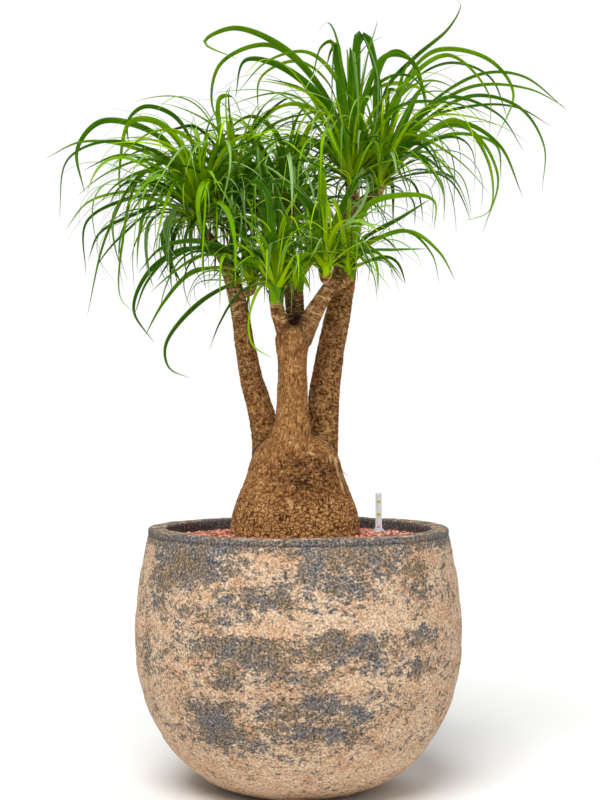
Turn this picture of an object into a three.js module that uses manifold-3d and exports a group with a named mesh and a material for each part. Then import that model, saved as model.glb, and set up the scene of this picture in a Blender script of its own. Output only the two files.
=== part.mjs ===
// A potted ponytail palm: one swollen stem base that carries three bark-covered
// trunks and ten heads of long, arching strap leaves, planted in clay granules
// in a thick-walled, round-bellied pot with a sliding water gauge.
// Millimetres, +Z up. The origin is the centre of the pot's underside, and the
// plant's front faces -Y.

import * as THREE from 'three';
import { mergeVertices } from 'three/addons/utils/BufferGeometryUtils.js';
import Module from 'manifold-3d';

const wasm = await Module();
wasm.setup();

// ---------------------------------------------------------------- dimensions

const GAP = 0.4; // between neighbouring pieces

const POT = {
  footRadius: 68,
  bellyRadius: 242.5,
  bellyHeight: 225,
  shoulderRadius: 220.5, // just under the lip
  shoulderPower: 1.9,
  height: 387,
  lipHeight: 8,
  lipRadius: 223,
  mouthRadius: 199,
  floorHeight: 22,
  edgeRound: 2,
  sides: 40,
  bellySteps: 8,
  shoulderSteps: 3,
};

// The inside of the pot, from its floor to below its mouth.
const HOLLOW = {
  footRadius: 56,
  bellyRadius: 220,
  bellySteps: 4,
  shoulder: [217, 290], // radius and height
  neck: [204, 352],
};

const SOIL = {
  edgeHeight: 370, // against the pot's wall
  crownHeight: 381, // against the plant
  edgeRadius: 200.1,
  slope: 1.5, // power by which the surface falls off outwards
  grain: 3.2, // height of the granules' relief
  innerRing: 88, // radius inside which the stem base covers the relief
  rings: 8,
};

const PLANT = { x: -5, y: 0 }; // the stem base's centre

// Stem base, as [radius, height], from its buried underside to its crown.
const CAUDEX = [
  [0, 262], [40, 268], [78, 300], [97, 350], [97, 386], [91.5, 416], [83, 440],
  [73.5, 464], [67, 488], [58, 505], [42, 520], [0, 530],
];
const CAUDEX_SIDES = 30;
const CAUDEX_STEPS = 15;

// Depth of the bark's relief, and the heights between which it sets in.
const BARK = { from: 382, full: 402, caudex: 1.7, trunk: 0.9 };

// Trunks and branches, each as stations [x, y, z, radius]. The last station of
// a branch that carries a head is its flat end.
const LIMBS = {
  left: [
    [-42, 18, 468, 30], [-48, 24, 520, 23], [-57, 25, 560, 20], [-70, 25, 606, 18],
    [-80, 25, 654, 15.4], [-88, 24, 706, 13.8], [-98, 24, 752, 13], [-108, 26, 784, 12],
  ],
  centre: [
    [-12, -22, 450, 46], [-14, -26, 484, 43], [-14, -28, 502, 38], [-11, -29, 520, 31],
    [-9, -30, 545, 26], [-9, -30, 572, 23.5], [-9, -30, 600, 22.5], [-9, -30, 640, 21.8],
    [-9, -28, 668, 27], [-6, -26, 690, 20],
  ],
  right: [
    [28, 36, 462, 32], [36, 46, 520, 24.5], [39, 50, 584, 24], [50, 50, 658, 21],
    [62, 50, 718, 19.2], [71, 52, 780, 18.2], [80, 54, 842, 16.5], [88, 54, 880, 17],
  ],
  leftOut: [[-107, 26, 776, 9], [-122, 20, 806, 8], [-143, 12, 834, 7.5], [-150, 10, 850, 8]],
  leftIn: [[-107, 26, 776, 9], [-100, 40, 812, 8], [-97, 52, 844, 7.5], [-96, 55, 863, 8]],
  leftLow: [[-93, 22, 728, 8], [-82, 12, 738, 7], [-72, 3, 742, 7], [-70, 0, 752, 7.5]],
  midFront: [[-14, -28, 664, 13], [-26, -36, 692, 10], [-33, -40, 712, 9.5], [-34, -40, 727, 10]],
  midBack: [[-4, -22, 662, 10], [2, -12, 690, 8], [1, -4, 722, 7.5], [-1, 0, 748, 8]],
  midHigh: [
    [-4, -20, 664, 11], [-10, 8, 710, 9], [-18, 44, 775, 8], [-21, 68, 822, 7.5],
    [-21, 75, 846, 8],
  ],
  midFork: [
    [2, -28, 666, 17], [16, -26, 694, 14], [30, -22, 720, 11.5], [44, -18, 742, 10.5],
    [54, -16, 756, 9.5],
  ],
  midLeft: [[50, -17, 742, 8], [44, -24, 752, 7.5], [41, -29, 758, 7.5], [40, -30, 767, 8]],
  midRight: [[54, -15, 746, 8], [65, -9, 754, 7.5], [72, -5, 760, 7.5], [74, -4, 769, 8]],
  topLeft: [[86, 54, 868, 12], [84, 48, 884, 10], [81, 42, 898, 9.5], [81, 40, 909, 10]],
  topRight: [[89, 54, 868, 12], [104, 57, 884, 10], [120, 60, 896, 9.5], [124, 60, 908, 10]],
};
const TRUNK_SIDES = 9;
const BRANCH_SIDES = 6;
const TRUNKS = ['left', 'centre', 'right', 'midFork'];
const STEPS_PER_STATION = 1.5;

const GAUGE = {
  x: 124, y: 76,
  topHeight: 434, radius: 5, bore: 3.8, cap: 2,
  chamberRadius: 12, chamberWall: 1.5, chamberTop: 330, chamberFoot: 230, chamberHole: 4,
  collarRadius: 13.5, collarTop: 7, collarFoot: 371, collarHeight: 9, collarEdge: 2,
  floatRadius: 8.5, floatFoot: 233, floatHeight: 38, floatShoulder: 4,
  rodRadius: 2.3, rodTop: 383,
  edge: 1, // bevel on the ends of the tube and the rod
  sides: 16, floatSides: 12,
};

// The heads: the branch that carries each, how far out and up its leaves go, how
// many grow by the rule below, and the leaves that draw the crown's outline.
// Each of those is [depth, width, ...points], with points as [across, up] from
// the head's heart and depth as how far back (+) or forward (-) its tip comes.
const HEADS = {
  head_left_out: {
    limb: 'leftOut', reach: 300, rise: 145, count: 22, colour: 0x4f8a1a,
    outline: [
      [40, 11, [-10, 95], [-40, 145], [-85, 160], [-110, 140], [-110, 105]],
      [-40, 11, [-20, 85], [-60, 130], [-100, 130], [-115, 65], [-115, 5]],
      [20, 12, [-35, 85], [-85, 125], [-150, 135], [-185, 95], [-175, 30]],
      [-30, 7, [-35, 60], [-105, 95], [-175, 100], [-225, 75]],
      [-70, 6, [-45, 75], [-130, 100], [-190, 70], [-200, -20]],
      [-70, 8, [-30, 45], [-75, 55], [-115, 35], [-140, 5]],
      [30, 6, [-40, 25], [-110, 30], [-170, 15], [-205, -25]],
      [-40, 7, [-40, 20], [-105, 15], [-165, -20], [-165, -100]],
      [60, 7, [-50, 10], [-105, -5], [-155, -30], [-175, -70]],
      [-60, 8, [-40, 70], [-90, 45], [-135, -45], [-160, -160]],
      [-90, 11, [-35, 70], [-85, 45], [-110, -60], [-110, -135], [-85, -160]],
      [-90, 7, [-55, 5], [-110, -40], [-140, -80], [-145, -105]],
    ],
  },
  head_left_in: {
    limb: 'leftIn', reach: 290, rise: 135, count: 22, colour: 0x549020,
    outline: [
      [40, 10, [-5, 70], [40, 135], [80, 170], [100, 170]],
      [60, 9, [-25, 80], [-65, 125], [-95, 125], [-125, 120]],
      [-50, 10, [-20, 85], [-25, 160], [-5, 160], [15, 115]],
    ],
  },
  head_left_low: {
    limb: 'leftLow', reach: 240, rise: 90, count: 14, colour: 0x4a8416,
    outline: [
      [-30, 9, [-45, 10], [-92, 0], [-130, -42], [-158, -93]],
      [40, 9, [-40, 35], [-105, 38], [-155, 8], [-180, -50], [-150, -100]],
      [-70, 7, [-35, 25], [-75, 26], [-120, -5], [-145, -30]],
      [60, 7, [-40, 30], [-110, 40], [-160, -5], [-183, -58]],
      [-70, 8, [-40, 30], [-85, 20], [-98, -15], [-84, -63]],
    ],
  },
  head_mid_front: {
    limb: 'midFront', reach: 270, rise: 180, count: 19, colour: 0x5c9a24,
    outline: [
      [-60, 10, [-20, 30], [-50, 35], [-65, -15], [-55, -65]],
      [-40, 10, [-30, 15], [-105, -15], [-160, -80], [-155, -115], [-125, -130]],
      [-60, 9, [-20, 10], [-55, -10], [-80, -50], [-95, -90]],
      [-70, 9, [-20, 5], [-38, -40], [-35, -80], [-5, -105]],
      [-60, 9, [-10, 25], [-30, 40], [-45, 40], [-55, 25]],
      [-60, 11, [-5, 35], [-5, 70], [-10, 30], [-15, 0]],
      [-60, 12, [-8, 80], [-14, 150], [-30, 198], [-60, 170], [-78, 125]],
      [-90, 9, [-15, 100], [-28, 205], [-15, 130], [30, 85]],
      [-110, 12, [-5, 60], [-10, 130], [-30, 150], [-60, 115]],
      [-50, 8, [5, 50], [20, 85], [38, 80], [50, 50]],
    ],
  },
  head_mid_back: {
    limb: 'midBack', reach: 170, rise: 85, count: 9, colour: 0x4a8c1c,
    outline: [],
  },
  head_mid_high: {
    limb: 'midHigh', reach: 300, rise: 140, count: 24, colour: 0x3d7212,
    outline: [],
  },
  head_mid_left: {
    limb: 'midLeft', reach: 270, rise: 145, count: 18, colour: 0x5a9a22,
    outline: [
      [-60, 14, [-5, 60], [-8, 140], [-22, 135], [-30, 95]],
      [-100, 12, [-15, 70], [-45, 105], [-75, 112], [-100, 75]],
      [-80, 11, [15, 60], [50, 125], [60, 110], [45, 70], [15, 40]],
    ],
  },
  head_mid_right: {
    limb: 'midRight', reach: 205, rise: 105, count: 16, colour: 0x55921e,
    outline: [
      [-50, 11, [30, 85], [85, 100], [125, 90], [125, 45]],
      [30, 10, [30, 40], [80, 70], [125, 100]],
      [-80, 8, [35, 30], [85, 45], [120, 10], [130, -35]],
      [50, 7, [45, 35], [95, 50], [140, 20], [165, -20]],
      [80, 6, [30, 20], [70, 25], [125, 30]],
      [-70, 10, [20, 25], [50, 5], [80, -35]],
      [-90, 7, [20, 15], [35, -20], [40, -60]],
      [90, 6, [25, 25], [45, 5], [50, -35]],
    ],
  },
  head_top_left: {
    limb: 'topLeft', reach: 320, rise: 190, count: 22, colour: 0x4c8a18,
    outline: [
      [20, 13, [-30, 100], [-100, 190], [-180, 225], [-225, 205], [-175, 180]],
      [-60, 13, [-30, 90], [-100, 155], [-160, 165], [-175, 105]],
      [50, 9, [-50, 130], [-125, 200], [-200, 175], [-215, 115], [-190, 65]],
      [90, 7, [-35, 140], [-85, 180], [-140, 160], [-145, 105]],
      [-60, 7, [-20, 135], [-65, 180], [-125, 165], [-175, 110]],
      [-50, 11, [-15, 95], [-25, 195], [-30, 130], [-30, 50]],
      [-70, 14, [5, 110], [10, 210], [35, 150], [35, 80], [25, 30]],
      [-130, 12, [-2, 110], [-2, 178], [4, 120], [6, 50]],
      [-50, 10, [15, 95], [50, 175], [90, 165], [115, 75]],
    ],
  },
  head_top_right: {
    limb: 'topRight', reach: 320, rise: 180, count: 20, colour: 0x4f8c1a,
    outline: [
      [60, 11, [10, 130], [55, 185], [110, 235], [130, 275], [120, 290]],
      [40, 9, [25, 115], [85, 195], [170, 185], [210, 135], [185, 65]],
      [-80, 8, [25, 120], [100, 180], [160, 120], [160, 50]],
      [40, 7, [60, 95], [155, 160], [225, 160], [295, 110]],
      [-40, 7, [60, 85], [140, 135], [225, 130], [280, 100]],
      [-70, 7, [60, 75], [140, 120], [210, 100], [245, 40], [240, -30]],
      [70, 6, [65, 85], [155, 115], [220, 115], [275, 90]],
      [-90, 7, [50, 75], [100, 115], [175, 85], [210, 25]],
      [-40, 9, [45, 45], [120, 80], [180, 45], [215, -35]],
      [60, 7, [50, 40], [120, 70], [185, 55], [195, 5]],
      [-110, 10, [55, 50], [115, 80], [160, 15], [160, -60], [120, -80]],
      [90, 6, [60, 65], [140, 80], [190, 10], [170, -75]],
      [-90, 10, [20, 30], [55, 45], [85, 5], [70, -35]],
      [-80, 9, [25, 25], [40, -15], [45, -45]],
      [120, 6, [40, 135], [110, 185], [180, 170], [215, 105]],
    ],
  },
};

const LEAF = {
  goldenAngle: 137.5,
  width: [7.5, 11], // narrowest and widest blade
  keel: 0.16, // depth of the blade's keel, as a part of its width
  leastKeel: 0.7,
  outlineSteps: 6,
  ruleSteps: 5,
  outlineLean: 50, // degrees that an outline leaf turns its face forwards
  ruleLean: 45,
  swingStep: 3.5, // degrees a leaf is swung by until it is clear of the others
  swingTries: 26,
  freeSteps: 2, // first steps that may cross leaves of the same head
  limbClearance: 1,
  depthPower: 1.3, // how late along an outline leaf its depth comes on
  heartHeight: 13, // where the leaves start, above the branch's end
  rootOut: 5, // how far from the head's heart a leaf is rooted in the bud
  rootRise: 10, // how far above or below it, for a leaf that starts steep or flat
  steepRise: 120,
  coreRadius: 11.9,
  coreHeight: 34,
  coreSides: 8,
  seed: 20261,
};

// The blade's width along its length: narrow where it is rooted, soon full, then
// tapering slowly, then fast, to a thread at the tip.
const BLADE = { rootWidth: 0.45, widening: 2.4, taper: 0.97, taperPower: 1.7 };

// How a leaf goes by its rank in the head: [for the innermost leaf, how much more
// for the outermost, the most that chance adds]. Distances out and down are parts
// of the head's reach, heights are parts of its rise.
const SPREAD = {
  reach: [0.8, 0, 0.35],
  crestOut: [0.14, 0.24, 0.08],
  crestUp: [0.9, -0.8, 0.2],
  tipOut: [0.18, 0.12, 0.1],
  tipDrop: [0.22, 0, 0.3],
  turn: 30, // degrees by which chance turns a leaf, or bends it sideways
  knee: [0.42, 0.72], // part of the crest's distance and height where the rise slows
  brow: [0.6, 0.35], // part of the way from crest to tip, out and down
};

// ------------------------------------------------------------------- helpers

const radians = THREE.MathUtils.degToRad;
const lerp = THREE.MathUtils.lerp;

// The same run of numbers between 0 and 1 for the same seed.
function drawsFrom(seed) {
  let state = seed;
  return () => {
    state = (state * 16807) % 2147483647;
    return state / 2147483647;
  };
}

function solidFrom(geometry) {
  const bare = geometry.clone();
  bare.deleteAttribute('normal');
  bare.deleteAttribute('uv');
  const merged = mergeVertices(bare, 1e-3);
  const index = merged.index.array;
  const triangles = [];
  for (let i = 0; i < index.length; i += 3) {
    const [a, b, c] = [index[i], index[i + 1], index[i + 2]];
    if (a !== b && b !== c && c !== a) triangles.push(a, b, c);
  }
  return new wasm.Manifold(new wasm.Mesh({
    numProp: 3,
    vertProperties: new Float32Array(merged.attributes.position.array),
    triVerts: new Uint32Array(triangles),
  }));
}

function geometryFrom(solid) {
  const mesh = solid.getMesh();
  const geometry = new THREE.BufferGeometry();
  geometry.setAttribute('position', new THREE.BufferAttribute(mesh.vertProperties, 3));
  geometry.setIndex(outerSkin(mesh.triVerts, mesh.numVert));
  geometry.computeVertexNormals();
  return geometry;
}

// The largest run of joined triangles: leaves out the skin of a sealed hollow
// between fused pieces, and any scrap.
function outerSkin(triangles, vertexCount) {
  const parent = Array.from({ length: vertexCount }, (_, i) => i);
  const rootOf = (vertex) => {
    let root = vertex;
    while (parent[root] !== root) root = parent[root];
    parent[vertex] = root;
    return root;
  };
  for (let i = 0; i < triangles.length; i += 3) {
    parent[rootOf(triangles[i + 1])] = rootOf(triangles[i]);
    parent[rootOf(triangles[i + 2])] = rootOf(triangles[i]);
  }
  const skins = new Map();
  for (let i = 0; i < triangles.length; i += 3) {
    const root = rootOf(triangles[i]);
    if (!skins.has(root)) skins.set(root, []);
    skins.get(root).push(triangles[i], triangles[i + 1], triangles[i + 2]);
  }
  return [...skins.values()].reduce((a, b) => (a.length > b.length ? a : b));
}

// A turned body about +Z from a profile of [radius, height] points, listed so
// that the material is on the left as the profile is walked.
function turned(profile, sides) {
  const points = profile.map(([radius, height]) => new THREE.Vector2(radius, height));
  return new THREE.LatheGeometry(points, sides).rotateX(Math.PI / 2);
}

function quarterBulge(footRadius, footHeight, radius, height, steps) {
  const points = [];
  for (let i = 0; i <= steps; i += 1) {
    const angle = (i / steps) * Math.PI / 2;
    points.push([
      footRadius + (radius - footRadius) * Math.sin(angle),
      footHeight + (height - footHeight) * (1 - Math.cos(angle)),
    ]);
  }
  return points;
}

// A closed skin over rings of points, each ring with the same number of them;
// each end is closed by a fan round its middle, or by the ring shrunk to a point.
function loft(rings) {
  const sides = rings[0].length;
  const positions = rings.flat().flatMap((point) => point.toArray());
  const triangles = [];
  for (let ring = 0; ring + 1 < rings.length; ring += 1) {
    for (let side = 0; side < sides; side += 1) {
      const a = ring * sides + side;
      const b = ring * sides + (side + 1) % sides;
      triangles.push(a, b, b + sides, a, b + sides, a + sides);
    }
  }
  const last = (rings.length - 1) * sides;
  for (let side = 1; side + 1 < sides; side += 1) {
    triangles.push(0, side + 1, side, last, last + side, last + side + 1);
  }
  const geometry = new THREE.BufferGeometry();
  geometry.setAttribute('position', new THREE.Float32BufferAttribute(positions, 3));
  geometry.setIndex(triangles);
  return geometry;
}

// ------------------------------------------------------------- pot and soil

function shoulderRadius(height) {
  const along = (height - POT.bellyHeight) / (POT.height - POT.bellyHeight);
  const swell = POT.bellyRadius - POT.shoulderRadius;
  return POT.shoulderRadius + swell * (1 - along ** POT.shoulderPower);
}

function potInside(inset) {
  const belly = quarterBulge(
    HOLLOW.footRadius - inset, POT.floorHeight + inset,
    HOLLOW.bellyRadius - inset, POT.bellyHeight, HOLLOW.bellySteps,
  );
  const above = [HOLLOW.shoulder, HOLLOW.neck].map(([radius, height]) => [radius - inset, height]);
  return [...belly, ...above];
}

function makePot() {
  const round = POT.edgeRound;
  const lipFoot = POT.height - POT.lipHeight;
  const outside = quarterBulge(
    POT.footRadius, 0, POT.bellyRadius, POT.bellyHeight, POT.bellySteps,
  );
  for (let i = 1; i <= POT.shoulderSteps; i += 1) {
    const height = lerp(POT.bellyHeight, lipFoot, i / POT.shoulderSteps);
    outside.push([shoulderRadius(height), height]);
  }
  const lip = [
    [POT.lipRadius, lipFoot + round], [POT.lipRadius, POT.height - round],
    [POT.lipRadius - round, POT.height], [POT.mouthRadius + round, POT.height],
    [POT.mouthRadius, POT.height - round],
  ];
  const inside = potInside(0).reverse();
  return turned([[0, 0], ...outside, ...lip, ...inside, [0, POT.floorHeight]], POT.sides);
}

function soilHeight(radius) {
  const along = Math.min(radius / POT.mouthRadius, 1);
  return lerp(SOIL.crownHeight, SOIL.edgeHeight, along ** SOIL.slope);
}

function caudexProfile() {
  const curve = new THREE.SplineCurve(CAUDEX.map(([radius, height]) => (
    new THREE.Vector2(radius, height))));
  const points = curve.getSpacedPoints(CAUDEX_STEPS).map((point) => [point.x, point.y]);
  points[0][0] = 0;
  points[CAUDEX_STEPS][0] = 0;
  return points;
}

// The buried part of the stem base with a gap round it, open to the surface.
function plantHole() {
  const buried = caudexProfile().filter(([, height]) => height < BARK.from);
  const hole = buried.map(([radius, height], i) => [i ? radius + GAP : 0, height - GAP]);
  const rim = Math.max(...hole.map(([radius]) => radius));
  const top = POT.height + SOIL.grain;
  return turned([...hole, [rim, top], [0, top]], CAUDEX_SIDES).translate(PLANT.x, PLANT.y, 0);
}

function gaugeHole() {
  const g = GAUGE;
  const profile = [
    [0, g.chamberFoot - GAP], [g.chamberRadius + GAP, g.chamberFoot - GAP],
    [g.chamberRadius + GAP, g.chamberTop], [g.radius + GAP, g.chamberTop + GAP],
    [g.radius + GAP, g.collarFoot - GAP], [g.collarRadius + GAP, g.collarFoot - GAP],
    [g.collarRadius + GAP, POT.height], [0, POT.height],
  ];
  return turned(profile, g.sides).translate(g.x, g.y, 0);
}

function makeSoil() {
  const wall = potInside(GAP);
  const surface = [];
  for (let ring = 0; ring < SOIL.rings; ring += 1) {
    const radius = lerp(SOIL.edgeRadius, SOIL.innerRing, ring / (SOIL.rings - 1));
    surface.push([radius, soilHeight(radius)]);
  }
  const foot = [0, POT.floorHeight + GAP];
  const body = turned([foot, ...wall, ...surface, [0, SOIL.crownHeight]], POT.sides);

  // Lifts each point of the surface but those at the wall and in the middle. The
  // turned body holds its first side twice, as the seam.
  const draw = drawsFrom(LEAF.seed);
  const place = body.attributes.position;
  const rings = wall.length + surface.length + 2;
  for (let side = 0; side < POT.sides; side += 1) {
    for (let ring = wall.length + 2; ring < rings - 1; ring += 1) {
      const lift = SOIL.grain * (draw() - 0.5);
      const copies = side === 0 ? [side, POT.sides] : [side];
      for (const copy of copies) {
        const vertex = copy * rings + ring;
        place.setZ(vertex, place.getZ(vertex) + lift);
      }
    }
  }
  const solid = solidFrom(body).subtract(solidFrom(plantHole())).subtract(solidFrom(gaugeHole()));
  return geometryFrom(solid);
}

// ------------------------------------------------------------- water gauge

function makeGaugeTube() {
  const g = GAUGE;
  const roof = g.topHeight - g.cap;
  const wall = g.chamberWall;
  const chamberBore = g.chamberRadius - wall;
  return turned([
    [g.chamberHole, g.chamberFoot], [g.chamberRadius, g.chamberFoot],
    [g.chamberRadius, g.chamberTop - wall], [g.radius, g.chamberTop],
    [g.radius, g.topHeight - g.edge], [g.radius - g.edge, g.topHeight], [0, g.topHeight],
    [0, roof], [g.bore, roof],
    [g.bore, g.chamberTop - wall], [chamberBore, g.chamberTop - 2 * wall - g.edge],
    [chamberBore, g.chamberFoot + wall], [g.chamberHole, g.chamberFoot + wall],
    [g.chamberHole, g.chamberFoot],
  ], g.sides).translate(g.x, g.y, 0);
}

function makeGaugeCollar() {
  const g = GAUGE;
  const bore = g.radius + GAP;
  const top = g.collarFoot + g.collarHeight;
  return turned([
    [bore, g.collarFoot], [g.collarRadius, g.collarFoot],
    [g.collarRadius, g.collarFoot + g.collarEdge], [g.collarTop, top], [bore, top],
    [bore, g.collarFoot],
  ], g.sides).translate(g.x, g.y, 0);
}

function makeGaugeFloat() {
  const g = GAUGE;
  const floatTop = g.floatFoot + g.floatHeight;
  return turned([
    [0, g.floatFoot], [g.floatRadius, g.floatFoot], [g.floatRadius, floatTop - g.floatShoulder],
    [g.rodRadius, floatTop], [g.rodRadius, g.rodTop - g.edge],
    [g.rodRadius - g.edge, g.rodTop], [0, g.rodTop],
  ], g.floatSides).translate(g.x, g.y, 0);
}

// -------------------------------------------------------------------- trunk

// Bark relief: corky blocks, as waves round and along the stem that shift phase.
function bark(angle, along) {
  const ribs = 0.6 * Math.sin(9 * angle + 0.06 * along);
  const rings = 0.5 * Math.sin(0.23 * along + 2.3 * Math.sin(3 * angle));
  const swells = 0.4 * Math.sin(5 * angle - 0.11 * along);
  return ribs + rings + swells;
}

function makeCaudex() {
  const body = turned(caudexProfile(), CAUDEX_SIDES);
  const place = body.attributes.position;
  for (let i = 0; i < place.count; i += 1) {
    const [x, y, z] = [place.getX(i), place.getY(i), place.getZ(i)];
    const radius = Math.hypot(x, y);
    const depth = BARK.caudex * THREE.MathUtils.smoothstep(z, BARK.from, BARK.full);
    const swell = radius > 1 ? 1 + depth * bark(Math.atan2(y, x), z) / radius : 1;
    place.setXYZ(i, x * swell, y * swell, z);
  }
  return body.translate(PLANT.x, PLANT.y, 0);
}

function makeLimb(stations, sides) {
  const path = new THREE.CatmullRomCurve3(stations.map(([x, y, z]) => new THREE.Vector3(x, y, z)));
  const spans = stations.length - 1;
  const steps = Math.ceil(spans * STEPS_PER_STATION);
  const rings = [];
  for (let i = 0; i <= steps; i += 1) {
    const t = i / steps;
    const span = Math.min(Math.floor(t * spans), spans - 1);
    const radius = lerp(stations[span][3], stations[span + 1][3], t * spans - span);
    const middle = path.getPoint(t);
    const along = i === steps ? new THREE.Vector3(0, 0, 1) : path.getTangent(t);
    const across = new THREE.Vector3(1, 0, 0).projectOnPlane(along).normalize();
    const back = new THREE.Vector3().crossVectors(along, across);
    const ring = [];
    for (let side = 0; side < sides; side += 1) {
      const angle = (side / sides) * 2 * Math.PI;
      const relief = i === steps ? 0 : BARK.trunk * bark(angle, middle.z);
      ring.push(middle.clone()
        .addScaledVector(across, (radius + relief) * Math.cos(angle))
        .addScaledVector(back, (radius + relief) * Math.sin(angle)));
    }
    rings.push(ring);
  }
  return loft(rings);
}

function makeTrunk() {
  let solid = solidFrom(makeCaudex());
  for (const [name, stations] of Object.entries(LIMBS)) {
    const sides = TRUNKS.includes(name) ? TRUNK_SIDES : BRANCH_SIDES;
    solid = solid.add(solidFrom(makeLimb(stations, sides)));
  }
  return geometryFrom(solid);
}

// ------------------------------------------------------------------- leaves

function heartOf(head) {
  const [x, y, z] = LIMBS[head.limb].at(-1);
  return new THREE.Vector3(x, y, z + LEAF.heartHeight);
}

// An outline leaf: its listed points, with its depth coming on along its length.
function outlineLeaf([depth, width, ...points]) {
  const places = points.map(([across, up], i) => {
    const share = ((i + 1) / points.length) ** LEAF.depthPower;
    return new THREE.Vector3(across, depth * share, up);
  });
  return { places, width, lean: LEAF.outlineLean, steps: LEAF.outlineSteps };
}

// The leaf of a given rank: the inner ones stand up and bend over near the tip,
// the outer ones spread and hang, and each turns a golden angle from the last.
function ruleLeaf(rank, head, draw) {
  const outer = (rank + 0.5) / head.count;
  const part = ([inner, more, chance]) => inner + more * outer + chance * draw();
  const bearing = radians(rank * LEAF.goldenAngle + SPREAD.turn * draw());
  const reach = head.reach * part(SPREAD.reach);
  const crestOut = reach * part(SPREAD.crestOut);
  const crestUp = head.rise * part(SPREAD.crestUp);
  const tipOut = crestOut + reach * part(SPREAD.tipOut);
  const tipUp = crestUp - reach * part(SPREAD.tipDrop);
  const bend = radians(SPREAD.turn * (draw() - 0.5));
  const at = (out, up, turn) => new THREE.Vector3(
    out * Math.cos(bearing + turn), out * Math.sin(bearing + turn), up,
  );
  const [kneeOut, kneeUp] = SPREAD.knee;
  const [browOut, browDown] = SPREAD.brow;
  return {
    places: [
      at(kneeOut * crestOut, kneeUp * crestUp, 0), at(crestOut, crestUp, 0.3 * bend),
      at(lerp(crestOut, tipOut, browOut), lerp(crestUp, tipUp, browDown), 0.6 * bend),
      at(tipOut, tipUp, bend),
    ],
    width: lerp(LEAF.width[0], LEAF.width[1], draw()),
    lean: LEAF.ruleLean * (2 * draw() - 1),
    steps: LEAF.ruleSteps,
  };
}

function bladeWidth(width, along) {
  const rooted = Math.min(1, BLADE.rootWidth + BLADE.widening * along);
  return width * rooted * (1 - BLADE.taper * along ** BLADE.taperPower);
}

// The line of a leaf as placed: from the side of its bud, swung about the upright.
function placeLeaf(leaf, heart, swing) {
  const upright = new THREE.Vector3(0, 0, 1);
  const places = leaf.places.map((place) => place.clone().applyAxisAngle(upright, swing));
  const far = places.reduce((a, b) => (Math.hypot(a.x, a.y) > Math.hypot(b.x, b.y) ? a : b));
  const bearing = far.clone().setZ(0).normalize();
  const root = bearing.clone().multiplyScalar(LEAF.rootOut);
  root.z = LEAF.rootRise * THREE.MathUtils.clamp(places[0].z / LEAF.steepRise, -1, 1);
  const path = new THREE.CatmullRomCurve3([root, ...places].map((place) => place.add(heart)));
  const points = path.getSpacedPoints(leaf.steps);
  const tangents = points.map((_, i) => path.getTangentAt(i / leaf.steps));
  return { points, tangents, bearing, width: leaf.width, lean: leaf.lean };
}

// A blade with a flat upper face and a keel below, drawn out to a point.
function makeBlade({ points, tangents, bearing, width, lean }) {
  const across = new THREE.Vector3().crossVectors(bearing, new THREE.Vector3(0, 0, 1));
  const forward = Math.sign(-across.y) || 1;
  const steps = points.length - 1;
  const rings = points.map((middle, i) => {
    if (i === steps) return [middle, middle, middle];
    const share = i / steps;
    const side = across.clone().projectOnPlane(tangents[i]).normalize();
    side.applyAxisAngle(tangents[i], -forward * radians(lean) * Math.min(2 * share, 1));
    const face = new THREE.Vector3().crossVectors(side, tangents[i]);
    const half = bladeWidth(width, share) / 2;
    const keel = Math.max(2 * half * LEAF.keel, LEAF.leastKeel);
    return [
      middle.clone().addScaledVector(side, -half), middle.clone().addScaledVector(side, half),
      middle.clone().addScaledVector(face, -keel),
    ];
  });
  return loft(rings);
}

function linesOf({ points, width }) {
  const steps = points.length - 1;
  return points.slice(1).map((point, i) => ({
    line: new THREE.Line3(points[i], point),
    half: Math.max(
      bladeWidth(width, i / steps) / 2, bladeWidth(width, (i + 1) / steps) / 2, LEAF.leastKeel,
    ),
  }));
}

function limbLines() {
  return Object.entries(LIMBS).flatMap(([name, stations]) => stations.slice(1).map((to, i) => ({
    line: new THREE.Line3(new THREE.Vector3(...stations[i]), new THREE.Vector3(...to)),
    half: Math.max(stations[i][3], to[3]) + LEAF.limbClearance,
    name,
  })));
}

function tooClose(mine, theirs) {
  const reach = mine.half + theirs.half + GAP;
  return mine.line.distanceSqToLine3(theirs.line) < reach * reach;
}

// Grows every head's leaves in turn, and swings each until it is clear of the
// branches and of the other leaves, but for its first steps beside those of its
// own head. One that can't be is left out.
function growLeaves() {
  const draw = drawsFrom(LEAF.seed);
  const grown = Object.fromEntries(Object.keys(HEADS).map((name) => [name, []]));
  const limbs = limbLines();
  const clear = (name, lines) => {
    const ownLimb = HEADS[name].limb;
    const branchHit = lines.some((mine, i) => limbs.some((limb) => (
      !(i === 0 && limb.name === ownLimb) && tooClose(mine, limb))));
    if (branchHit) return false;
    return Object.entries(grown).every(([other, leaves]) => {
      const from = other === name ? LEAF.freeSteps : 0;
      return leaves.every((leaf) => leaf.lines.slice(from).every((theirs) => (
        lines.slice(from).every((mine) => !tooClose(mine, theirs)))));
    });
  };
  const grow = (name, leaf) => {
    for (let turn = 0; turn < LEAF.swingTries; turn += 1) {
      const swing = radians(LEAF.swingStep * Math.ceil(turn / 2) * (turn % 2 ? 1 : -1));
      const placed = placeLeaf(leaf, heartOf(HEADS[name]), swing);
      const lines = linesOf(placed);
      if (clear(name, lines)) {
        grown[name].push({ ...placed, lines });
        return;
      }
    }
  };
  for (const [name, head] of Object.entries(HEADS)) {
    for (const row of head.outline) grow(name, outlineLeaf(row));
  }
  const most = Math.max(...Object.values(HEADS).map((head) => head.count));
  for (let rank = 0; rank < most; rank += 1) {
    for (const [name, head] of Object.entries(HEADS)) {
      if (rank < head.count) grow(name, ruleLeaf(rank, head, draw));
    }
  }
  return grown;
}

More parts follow.
